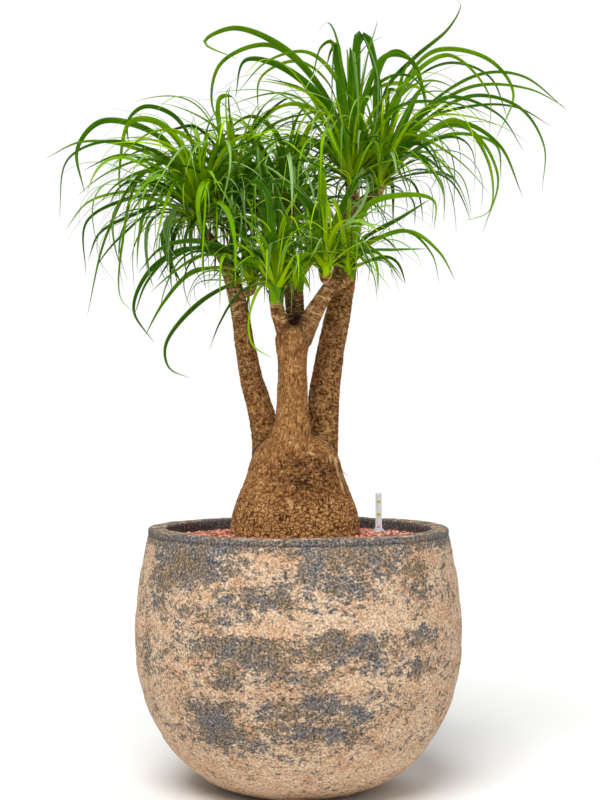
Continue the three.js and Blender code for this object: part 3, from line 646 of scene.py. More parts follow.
# %% Limbs
PLANT_X = -5
CAUDEX = [  # radius and height
    (0, 262), (40, 268), (78, 300), (97, 350), (97, 386), (91.5, 416), (83, 440),
    (73.5, 464), (67, 488), (58, 505), (42, 520), (0, 530),
]
LIMBS = {  # stations along each: across, back, height and radius
    "left": [
        (-42, 18, 468, 30), (-48, 24, 520, 23), (-57, 25, 560, 20), (-70, 25, 606, 18),
        (-80, 25, 654, 15.4), (-88, 24, 706, 13.8), (-98, 24, 752, 13), (-108, 26, 784, 12),
    ],
    "centre": [
        (-12, -22, 450, 46), (-14, -26, 484, 43), (-14, -28, 502, 38), (-11, -29, 520, 31),
        (-9, -30, 545, 26), (-9, -30, 572, 23.5), (-9, -30, 600, 22.5), (-9, -30, 640, 21.8),
        (-9, -28, 668, 26.5), (-7, -26, 686, 19),
    ],
    "right": [
        (28, 36, 462, 32), (36, 46, 520, 24.5), (39, 50, 584, 24), (50, 50, 658, 21),
        (62, 50, 718, 19.2), (71, 52, 780, 18.2), (80, 54, 842, 16.5), (88, 54, 880, 17),
    ],
    "left_out": [(-107, 26, 776, 9), (-122, 20, 806, 8), (-143, 12, 834, 7.5), (-150, 10, 850, 8)],
    "left_in": [(-107, 26, 776, 9), (-100, 40, 812, 8), (-97, 52, 844, 7.5), (-96, 55, 863, 8)],
    "left_low": [(-93, 22, 728, 8), (-82, 12, 738, 7), (-72, 3, 742, 7), (-70, 0, 752, 7.5)],
    "mid_front": [(-14, -28, 664, 14), (-25, -36, 690, 11.5), (-31, -40, 710, 10.8), (-33, -40, 727, 10)],
    "mid_back": [(-4, -22, 662, 10), (2, -12, 690, 8), (1, -4, 722, 7.5), (-1, 0, 748, 8)],
    "mid_high": [
        (-4, -20, 664, 11), (-10, 8, 710, 9), (-18, 44, 775, 8), (-21, 68, 822, 7.5), (-21, 75, 846, 8),
    ],
    "mid_fork": [
        (2, -28, 666, 17.5), (16, -26, 694, 15), (30, -22, 720, 12.6), (44, -18, 742, 11.2),
        (54, -16, 756, 9.5),
    ],
    "mid_left": [(50, -17, 742, 8), (44, -24, 752, 7.5), (41, -29, 758, 7.5), (40, -30, 767, 8)],
    "mid_right": [(54, -15, 746, 8), (65, -9, 754, 7.5), (72, -5, 760, 7.5), (74, -4, 769, 8)],
    "top_left": [(86, 54, 868, 12), (84, 48, 884, 10), (81, 42, 898, 9.5), (81, 40, 909, 10)],
    "top_right": [(89, 54, 868, 12), (104, 57, 884, 10), (120, 60, 896, 9.5), (124, 60, 908, 10)],
}
# Leaf rings show from these heights up, on the centre nowhere, and on the others all along.
RINGED_FROM = {"left": 670, "right": 770, "mid_front": 662, "mid_fork": 666}
LIMB_SIDES = 28


def limb_line(name):
    """A limb's middle line every 2 mm or so, its directions and its radii."""
    stations = np.array(LIMBS[name], float)
    length = np.linalg.norm(np.diff(stations[:, :3], axis=0), axis=1)
    middle, ahead = spline(stations[:, :3], math.ceil(length.sum() / 2))
    along = np.concatenate([[0], np.cumsum(length)]) / length.sum()
    radii = np.interp(np.linspace(0, 1, len(middle)), along, stations[:, 3])
    return middle, ahead, radii


def limb_frame(ahead):
    """Two directions across each point of a limb."""
    across = unit(np.array([1.0, 0, 0]) - ahead * ahead[:, :1])
    return across, np.cross(ahead, across)


limb_lines = {name: limb_line(name) for name in LIMBS}
print("limb steps:", {name: len(middle) for name, (middle, _, _) in limb_lines.items()})


# %% One skin over base and limbs
def caudex_radius(heights):
    """The stem base's radius at some heights."""
    line, _ = spline([(r, 0, z) for r, z in CAUDEX], 120)
    return np.interp(heights, line[:, 2], line[:, 0])


def stem_tubes():
    """The turned base and a closed tube along each limb, still passing through each other."""
    base_heights = np.linspace(CAUDEX[0][1], CAUDEX[-1][1], 110)
    base = [CAUDEX[0], *zip(caudex_radius(base_heights[1:-1]), base_heights[1:-1]), CAUDEX[-1]]
    parts = [turned("base", base, 120, (PLANT_X, 0))]
    turns = np.arange(LIMB_SIDES) * 2 * math.pi / LIMB_SIDES
    for name, (middle, ahead, radii) in limb_lines.items():
        across, back = limb_frame(ahead)
        rings = middle[:, None] + radii[:, None, None] * (
            np.cos(turns)[None, :, None] * across[:, None] + np.sin(turns)[None, :, None] * back[:, None])
        rows = np.arange(len(middle) * LIMB_SIDES).reshape(-1, LIMB_SIDES).tolist()
        faces = [*bands(rows), rows[0][::-1], rows[-1]]
        parts.append(mesh_object(name, rings.reshape(-1, 3), faces))
    return parts


def joined(name, parts):
    """Several meshes as one object, and the parts removed."""
    together = bmesh.new()
    for part in parts:
        together.from_mesh(part.data)
        bpy.data.objects.remove(part)
    return freed(together, name)


def freed(body, name):
    """An object with what a bmesh holds."""
    mesh = bpy.data.meshes.new(name)
    body.to_mesh(mesh)
    body.free()
    return show(name, mesh)


VOXEL = 1.5  # millimetres
# Where the second smoothing acts, in millimetres, and its share behind the front.
TRUNK_FOOT = SimpleNamespace(across=-12, wide=55, front=-10, height=478, tall=42, behind=0.45)
stem = joined("stem", stem_tubes())
modify(stem, "REMESH", mode="VOXEL", voxel_size=VOXEL * MM, use_smooth_shade=True)
modify(stem, "SMOOTH", factor=0.5, iterations=8)
settle(stem)

# The centre trunk's foot is smoothed far more, so that it flows out of the base.
x, y, z = points_of(stem).T
in_front = np.exp(-((x - TRUNK_FOOT.across) / TRUNK_FOOT.wide) ** 4) * (y < TRUNK_FOOT.front)
foot_of_trunk = (np.exp(-((z - TRUNK_FOOT.height) / TRUNK_FOOT.tall) ** 4)
                 * np.maximum(in_front, TRUNK_FOOT.behind))
flow = stem.vertex_groups.new(name="foot_of_trunk")
for index in np.flatnonzero(foot_of_trunk > 0.02).tolist():
    flow.add([index], float(foot_of_trunk[index]), "REPLACE")
modify(stem, "SMOOTH", factor=0.9, iterations=120, vertex_group=flow.name)
settle(stem)
print("fused stem:", len(stem.data.polygons), "faces")

# %% [markdown]
# Bark follows the limb it grows on, so each point of the skin is given the place
# that it would have if its limb stood straight: how far across, how far back and
# how far along. Patterns made there turn and lean with the limb. The same search
# tells which look a point has, and how deep it lies in a fork. The centre trunk
# flows into the base without a crease, so those two count as one there.

# %% Where each point of the skin lies along its limb
def straightened(points):
    """For each point: its place on a straightened limb, limb number, and gap to the next limb."""
    x, y, z = points.T
    radius = np.hypot(x - PLANT_X, y)
    foot, top = CAUDEX[0][1], CAUDEX[-1][1]
    gaps = [np.where(z < top, radius - caudex_radius(np.clip(z, foot, top)), 60)]
    places = [np.column_stack([x - PLANT_X, y, z])]
    for number, (middle, ahead, radii) in enumerate(limb_lines.values(), start=1):
        across, back = limb_frame(ahead)
        steps = np.concatenate([[0], np.cumsum(np.linalg.norm(np.diff(middle, axis=0), axis=1))])
        nearest = np.empty(len(points), int)
        for start in range(0, len(points), 20000):
            part = points[start:start + 20000, None] - middle[None]
            nearest[start:start + 20000] = np.argmin((part ** 2).sum(2), axis=1)
        away = points - middle[nearest]
        gaps.append(np.linalg.norm(away, axis=1) - radii[nearest])
        local = np.column_stack([
            (away * across[nearest]).sum(1), (away * back[nearest]).sum(1),
            steps[nearest] + (away * ahead[nearest]).sum(1) + middle[0, 2],
        ])
        places.append(local + [40 * number, 0, 0])
    gaps = np.array(gaps)
    own = np.argmin(gaps, axis=0)
    centre = 1 + list(limb_lines).index("centre")
    apart = np.delete(gaps, centre, axis=0)
    apart[0] = np.minimum(gaps[0], gaps[centre])
    apart.sort(axis=0)
    return np.array(places)[own, np.arange(len(points))], own, apart[1] - apart[0]


stem_points = points_of(stem)
grain_place, limb_number, fork_gap = straightened(stem_points)
heights = stem_points[:, 2]
store(stem, "grain_place", grain_place * MM)
print("straightened", len(stem_points), "points")

# %% [markdown]
# Each look of the bark has a strength at each point. Low down it is split into
# plates, the older trunks are cracked, young limbs are ringed, the front of the
# trunk's foot is wrinkled, and little light gets into forks and old leaf bases.

# %% How the bark looks in each place
RING_FADE = 36  # millimetres, as all of these but the shares in CRACKED
PLATED_TO, PLATED_FADE = 452, 30
CRACKED = {"caudex": 0.6, "centre": 0.25, "left": 0.85, "right": 1.0}
CRACKED_ELSEWHERE = 0.3
WRINKLES = SimpleNamespace(across=12, wide=52, height=466, tall=34)
CREVICE = SimpleNamespace(reach=7, above=440, fade=30)
FORK, FORK_REACH, FORKED_ABOVE = (-4, -22, 694), 24, 600  # of the centre trunk
SHAGGY, SHAGGY_TO, SHAGGY_FADE = ("mid_back", "mid_high"), 760, 60  # limbs with dead leaf bases

limb_names = ["caudex", *LIMBS]
ringed = np.ones(len(heights))
for number, name in enumerate(limb_names):
    own = limb_number == number
    if name in ("caudex", "centre"):
        ringed[own] = 0
    elif name in RINGED_FROM:
        ringed[own] = np.clip((heights[own] - RINGED_FROM[name]) / RING_FADE, 0, 1)
wrinkled = np.exp(-((stem_points[:, 0] - WRINKLES.across) / WRINKLES.wide) ** 4
                  - ((heights - WRINKLES.height) / WRINKLES.tall) ** 4)
cracked = np.array([CRACKED.get(name, CRACKED_ELSEWHERE) for name in limb_names])[limb_number]
crevice = (np.exp(-np.maximum(fork_gap, 0) / CREVICE.reach)
           * np.clip((heights - CREVICE.above) / CREVICE.fade, 0, 1))
from_fork = np.linalg.norm(stem_points - FORK, axis=1)
shaded = np.where(
    heights > FORKED_ABOVE, np.exp(-(from_fork / FORK_REACH) ** 2) + 0.3 * crevice, crevice,
)
shaggy = np.isin(limb_number, [limb_names.index(name) for name in SHAGGY])
bark_fields = {
    "ringed": ringed,
    "plated": np.clip((PLATED_TO - heights) / PLATED_FADE, 0, 1),
    "cracked": np.maximum(cracked, wrinkled),
    "wrinkled": wrinkled,
    "shaded": np.maximum(shaded, 0.75 * shaggy * np.clip((SHAGGY_TO - heights) / SHAGGY_FADE, 0, 1)),
}
for name, values in bark_fields.items():
    store(stem, name, values)
    print(name, "is", round(float(values.mean()), 3), "on average")

# %% [markdown]
# Torn outer bark shows pale cork on the right of the base, and an old cut shows
# near its middle. They are spots on the skin, long and thin, given as
# across, height, half width, half height and lean.

# %% Pale scars
SCARS = [
    (-13, 429, 2.6, 8.0, 24), (-10, 424, 3.0, 2.6, 0), (55, 486, 2.4, 8, 10), (59, 470, 1.8, 8, 12),
    (64, 452, 1.7, 9, 16), (47, 492, 1.5, 5, 8), (-12, 516, 2.2, 2.4, 0), (19, 500, 2.0, 5, 60),
]


def scars_on(points):
    """How pale each point of the front is, 0 to 1."""
    x, y, z = points.T
    pale = np.zeros(len(points))
    for across, height, wide, tall, lean in SCARS:
        turn = math.radians(lean)
        u = (x - across) * math.cos(turn) + (z - height) * math.sin(turn)
        v = -(x - across) * math.sin(turn) + (z - height) * math.cos(turn)
        pale = np.maximum(pale, np.exp(-((u / wide) ** 2 + (v / tall) ** 2) ** 2) * (y < -5))
    return pale


pale = scars_on(stem_points)
store(stem, "pale", pale)
print("pale points:", int((pale > 0.5).sum()))


# %% Bark pattern, for both kinds of tree
BARK = {"plate": 7.4, "dash": 5.0, "fibre": 3.0, "fleck": 4.0, "ring": 2.5}  # millimetres


def bark_height(tree, grain, given):
    """The bark's relief, 0 in a crack and 1 on a crest."""
    warp = add(tree, "TexNoise", {"Vector": grain, "Scale": 1 / (13 * MM), "Detail": 3.0})
    shift = add(tree, "VectorMath SUBTRACT", [warp.outputs["Color"], (0.5, 0.5, 0.5)])
    bent = add(tree, "VectorMath SCALE", {0: shift, "Scale": 7 * MM})
    place = add(tree, "VectorMath ADD", [grain, bent])

    noises = {}
    for name, source, across, along, fineness in (
        ("dash", place, 0.55, 1.4, {"Detail": 6.0, "Roughness": 0.7}),
        ("ring", place, 0.16, 1.0, {"Detail": 1.0}),
        ("fibre", grain, 1.0, 0.45, {"Detail": 4.0, "Roughness": 0.75}),
    ):
        drawn = add(tree, "VectorMath MULTIPLY", [source, (across, across, along)])
        noises[name] = add(tree, "TexNoise", {"Vector": drawn, "Scale": 1 / (BARK[name] * MM), **fineness})
    flat = add(tree, "VectorMath MULTIPLY", [place, (1, 1, 1.3)])
    edge = add(tree, "TexVoronoi", {
        "Vector": flat, "Scale": 1 / (BARK["plate"] * MM), "Randomness": 0.8,
    }, feature="DISTANCE_TO_EDGE")
    plates = add(tree, "MapRange", [edge, 0, 0.12, 0.16, 0.8])
    crack = add(tree, "MapRange", [noises["dash"], 0.38, 0.56, -0.42, 0.2])
    cracks = add(tree, "Math MULTIPLY_ADD", [crack, given["cracked"], 0.6])
    rings = add(tree, "MapRange", [noises["ring"], 0.46, 0.64, 0.4, 1.0])
    upper = add(tree, "Mix", {"Factor": given["ringed"], 2: cracks, 3: rings})
    mixed = add(tree, "Mix", {"Factor": given["plated"], 2: upper, 3: plates})
    rough = add(tree, "Math MULTIPLY_ADD", [noises["fibre"], 2.4, -1.2])
    return add(tree, "Math ADD", [mixed, rough])


BARK_LOOKS = ("ringed", "plated", "cracked")


# %% Bark relief
tree, sizes = new_tree("bark_relief", **{
    "Bark depth": "Float", "Ring depth": "Float", "Lumps": "Float", "Bark": "Material",
})
grain = add(tree, "InputNamedAttribute", ["grain_place"], data_type="FLOAT_VECTOR")
fields = {name: add(tree, "InputNamedAttribute", [name]) for name in BARK_LOOKS}
relief = bark_height(tree, grain, fields)
depth = add(tree, "Mix", {"Factor": fields["ringed"], 2: sizes["Bark depth"], 3: sizes["Ring depth"]})
raised = add(tree, "Math ADD", [relief, -0.75])
bark_push = add(tree, "Math MULTIPLY", [raised, depth])
swell = add(tree, "TexNoise", {"Vector": grain, "Scale": 1 / (30 * MM), "Detail": 2.0})
swelling = add(tree, "Math ADD", [swell, -0.5])
total = add(tree, "Math MULTIPLY_ADD", [swelling, sizes["Lumps"], bark_push])
push_out(tree, sizes, total, sizes["Bark"])
bark_relief = tree

# %% Bark material: corky bark
bark, tree, shader = plain_material("corky_bark", "#936238", 0.92)
grain = add(tree, "Attribute", attribute_name="grain_place").outputs["Vector"]
looks = {name: add(tree, "Attribute", attribute_name=name).outputs["Fac"]
         for name in (*BARK_LOOKS, "wrinkled", "shaded", "pale")}
relief = bark_height(tree, grain, looks)
tone = add(tree, "TexNoise", {"Vector": grain, "Scale": 1 / (20 * MM), "Detail": 5.0, "Roughness": 0.7})
toned = add(tree, "Math MULTIPLY_ADD", [tone, 1.1, -0.55])
# The bark's colour is made darker where the trunk's foot is wrinkled.
darker_where_wrinkled = add(tree, "Math MULTIPLY_ADD", [looks["wrinkled"], -0.3, toned])
level = add(tree, "Math ADD", [relief, darker_where_wrinkled])
cork = add(tree, "ValToRGB", [level], stops=[
    (0.0, "#3a2410"), (0.3, "#724a26"), (0.53, "#98673a"), (0.76, "#bb8650"), (1.0, "#deae72"),
])
reddish = add(tree, "ValToRGB", [level], stops=[
    (0.0, "#54331a"), (0.35, "#8c5b31"), (0.65, "#b5824e"), (1.0, "#ebc592"),
])
shadow = add(tree, "ValToRGB", [level], stops=[(0.2, "#1f140c"), (0.8, "#4d3420"), (1.0, "#6b4a2e")])
young = add(tree, "Math MULTIPLY", [looks["ringed"], 0.7])
fleck = add(tree, "TexNoise", {"Vector": grain, "Scale": 1 / (BARK["fleck"] * MM), "Detail": 2.0})
fleck_share = add(tree, "MapRange", [fleck, 0.62, 0.7, 0, 0.6])
flecked = add(tree, "Math MULTIPLY", [fleck_share, looks["cracked"]])
skin = cork
inside = linear("#dcb07a")
for share, over in ((young, reddish), (looks["shaded"], shadow), (flecked, inside), (looks["pale"], inside)):
    skin = add(tree, "Mix", {"Factor": share, 6: skin, 7: over}, data_type="RGBA").outputs[2]
bump = add(tree, "Bump", {"Height": relief, "Strength": 1.0, "Distance": 1.5 * MM})
plug(tree, shader, {"Base Color": skin, "Normal": bump, "Specular IOR Level": 0.2})

grow(stem, bark_relief, **{
    "Bark depth": 1.7 * MM, "Ring depth": 1.0 * MM, "Lumps": 3.0 * MM, "Bark": bark,
})


# %% [markdown]
# The skin is cut in two, so that each piece stays light enough to keep all its
# points: the base with the lower trunks, and the limbs above. The cut is level,
# both sides share its outline, and each is closed by flat caps.

# %% Cut the stem in two
def sliced(source, name, low, high):
    """The part of a skin between two heights, closed with flat caps."""
    body = bmesh.new()
    body.from_mesh(source.data)
    for height, way in ((low, -1), (high, 1)):
        bmesh.ops.bisect_plane(
            body, geom=[*body.verts, *body.edges, *body.faces], plane_co=(0, 0, height * MM),
            plane_no=(0, 0, way), clear_outer=True,
        )
        rim = [edge for edge in body.edges if edge.is_boundary]
        for face in bmesh.ops.holes_fill(body, edges=rim)["faces"]:
            face.smooth = False
            for edge in face.edges:
                edge.smooth = False
    piece = freed(body, name)
    piece.data.materials.append(bark)
    print(name, "has", len(piece.data.polygons), "faces")
    return piece


BURIED, CUT, TREE_TOP = 352, 585, 2000
stem_base = sliced(stem, "stem_base", BURIED, CUT)
stem_limbs = sliced(stem, "stem_limbs", CUT, TREE_TOP)
bpy.data.objects.remove(stem)
hand_in(stem_base, "bark", "trunk")
hand_in(stem_limbs, "bark")

# %% [markdown]
# ## The water gauge
# A gauge of clear acrylic stands in the granules. A float inside it carries a
# red rod that rises with the water. The parts are turned, so fine profiles with
# rounded edges make them.

# %% Gauge parts
GAUGE = SimpleNamespace(  # millimetres
    top=434, radius=5, bore=3.8, cap=2, chamber=12, wall=1.5, chamber_top=330, chamber_foot=230,
    hole=4, collar=13.5, collar_top=7, collar_foot=371, collar_height=9, float=8.5, float_foot=233,
    float_height=38, rod=2.3, rod_top=383, gap=0.4,
)


def tube_profile(g, edge=1.0):
    """The tube: down in the chamber, up outside, over its cap and down inside."""
    roof, inner, shoulder = g.top - g.cap, g.chamber - g.wall, g.chamber_top - g.wall
    return [
        (g.hole, g.chamber_foot), (g.chamber - 0.6, g.chamber_foot), (g.chamber, g.chamber_foot + 0.6),
        (g.chamber, shoulder), (g.radius + 1.5, g.chamber_top - 0.4), (g.radius, g.chamber_top + 0.8),
        (g.radius, g.top - edge), (g.radius - 0.3 * edge, g.top - 0.3 * edge), (g.radius - edge, g.top),
        (0, g.top), (0, roof), (g.bore - 0.3, roof), (g.bore, roof - 0.3), (g.bore, shoulder),
        (inner, shoulder - g.wall - 1), (inner, g.chamber_foot + g.wall),
        (g.hole, g.chamber_foot + g.wall),
    ]


def collar_profile(g):
    """The collar, flared towards its foot."""
    foot, top, bore = g.collar_foot, g.collar_foot + g.collar_height, g.radius + g.gap
    flare = [(g.collar_top + (g.collar - g.collar_top) * (1 - s) ** 1.5, foot + 1.6 + (top - foot - 2.2) * s)
             for s in np.linspace(0, 1, 7)]
    return [(bore, foot), (g.collar - 0.5, foot), (g.collar, foot + 0.5), *flare,
            (g.collar_top - 0.5, top), (bore, top)]


def float_profile(g):
    """The float with its rod."""
    foot, top, tip = g.float_foot, g.float_foot + g.float_height, g.rod_top
    return [
        (0, foot), (g.float - 1, foot), (g.float, foot + 1), (g.float, top - 4), (g.float - 1.5, top - 2),
        (g.rod, top), (g.rod, tip - 0.8), (g.rod - 0.3, tip - 0.2), (g.rod - 0.8, tip), (0, tip),
    ]


tube = turned("clear_gauge_tube", tube_profile(GAUGE), 48, GAUGE_AXIS)
collar = turned("grey_gauge_collar", collar_profile(GAUGE), 48, GAUGE_AXIS)
rod = turned("red_float", float_profile(GAUGE), 32, GAUGE_AXIS)
print("gauge from", GAUGE.chamber_foot, "to", GAUGE.top, "mm")


# %% Level bars on the gauge
BAR_HALF_ARC = 34  # degrees
BAR_SKIN = (0.02, 0.12)  # where a bar's thickness starts and ends, outside the tube


def level_bars(bars):
    """Plain printed bars on the front of the tube, as thin curved plates."""
    turns = np.radians(np.linspace(-90 - BAR_HALF_ARC, -90 + BAR_HALF_ARC, 13))
    count = len(turns)
    points, faces = [], []
    for low, high in bars:
        start = len(points)
        for skin, height in ((skin, height) for skin in BAR_SKIN for height in (low, high)):
            x = GAUGE_AXIS[0] + (GAUGE.radius + skin) * np.cos(turns)
            y = GAUGE_AXIS[1] + (GAUGE.radius + skin) * np.sin(turns)
            points += np.column_stack([x, y, np.full(count, height)]).tolist()
        rows = [list(range(start + k * count, start + (k + 1) * count)) for k in (0, 1, 3, 2)]
        for lower, upper in zip(rows, rows[1:] + rows[:1]):
            faces += [(lower[i], upper[i], upper[i + 1], lower[i + 1]) for i in range(count - 1)]
        faces += [tuple(row[0] for row in rows)[::-1], tuple(row[-1] for row in rows)]
    plates = mesh_object("yellow_level_bars", points, faces)
    plates.data.polygons.foreach_set("use_smooth", [False] * len(faces))
    return plates


BARS = [(399, 403), (419.2, 422.8)]  # from and to these heights
bars = level_bars(BARS)
print("level bars:", len(BARS))

# %% [markdown]
# Clear acrylic is smooth and bends light by 1.49. Against a white room, and with
# its lining of scale, the tube looks almost white, but its front stays clear
# enough to read the red rod inside at any height. Letting the light straight
# through there keeps the rod lit, which bent light alone would not, and the back
# half has a faint painted glow, which makes its wall look lit. The collar and
# the float are moulded, which leaves a satin skin with the finest ripple, and
# the bars are printed in yellow ink.

# %% Gauge materials
def moulded(name, colour, roughness, mottle):
    """Moulded plastic: one colour with a slight cloudiness and a satin ripple."""
    material, tree, shader = plain_material(name, colour, roughness)
    place = add(tree, "TexCoord").outputs["Object"]
    cloud = add(tree, "TexNoise", {"Vector": place, "Scale": 1 / (3 * MM), "Detail": 3.0})
    clouded = add(tree, "ValToRGB", [cloud], stops=[(0.3, mottle), (0.6, colour)])
    bump = add(tree, "Bump", {"Height": cloud, "Strength": 0.15, "Distance": 0.2 * MM})
    plug(tree, shader, {"Base Color": clouded, "Normal": bump, "IOR": 1.5})
    return material


CLEAR = 0.8  # how much light goes straight through the front's middle
CLEAR_HALF = (2.3 * MM, 3.3 * MM)  # across: where the clear strip starts to fade, and where it ends
acrylic, tree, shader = plain_material("clear_acrylic", "#fafbfb", 0.08)
place = add(tree, "TexCoord").outputs["Object"]
haze = add(tree, "TexNoise", {"Vector": place, "Scale": 1 / (12 * MM), "Detail": 2.0})
spot = add(tree, "SeparateXYZ", [place])
front = add(tree, "MapRange", [spot.outputs["Y"], (GAUGE_AXIS[1] - 2) * MM, GAUGE_AXIS[1] * MM, 1.0, 0.0])
aside = add(tree, "Math SUBTRACT", [spot.outputs["X"], GAUGE_AXIS[0] * MM])
distance = add(tree, "Math ABSOLUTE", [aside])
middle = add(tree, "MapRange", [distance, *CLEAR_HALF, CLEAR, 0.0])
window = add(tree, "Math MULTIPLY", [front, middle])
# The back half's emission is a painted glow that makes its wall look lit.
plug(tree, shader, {
    "IOR": 1.49, "Emission Color": linear("#fafbfb"),
    "Roughness": add(tree, "MapRange", [haze, 0, 1, 0.05, 0.22]),
    "Transmission Weight": add(tree, "Math MULTIPLY", [front, 0.3]),
    "Alpha": add(tree, "Math SUBTRACT", [1.0, window]),
    "Emission Strength": add(tree, "MapRange", [front, 0, 1, 0.16, 0.0]),
})

for piece, material in (
    (tube, acrylic),
    (collar, moulded("satin_grey_plastic", "#c3c7cb", 0.42, "#aab0b5")),
    (rod, moulded("satin_red_plastic", "#e0301a", 0.38, "#c42512")),
    (bars, moulded("yellow_ink", "#e0c64e", 0.5, "#d2b53a")),
):
    piece.data.materials.append(material)
hand_in(tube, "gauge_clear", "gauge_tube")
hand_in(collar, "gauge_grey", "gauge_collar")
hand_in(bars, "gauge_clear")
hand_in(rod, "gauge_red", "gauge_float", body="float")
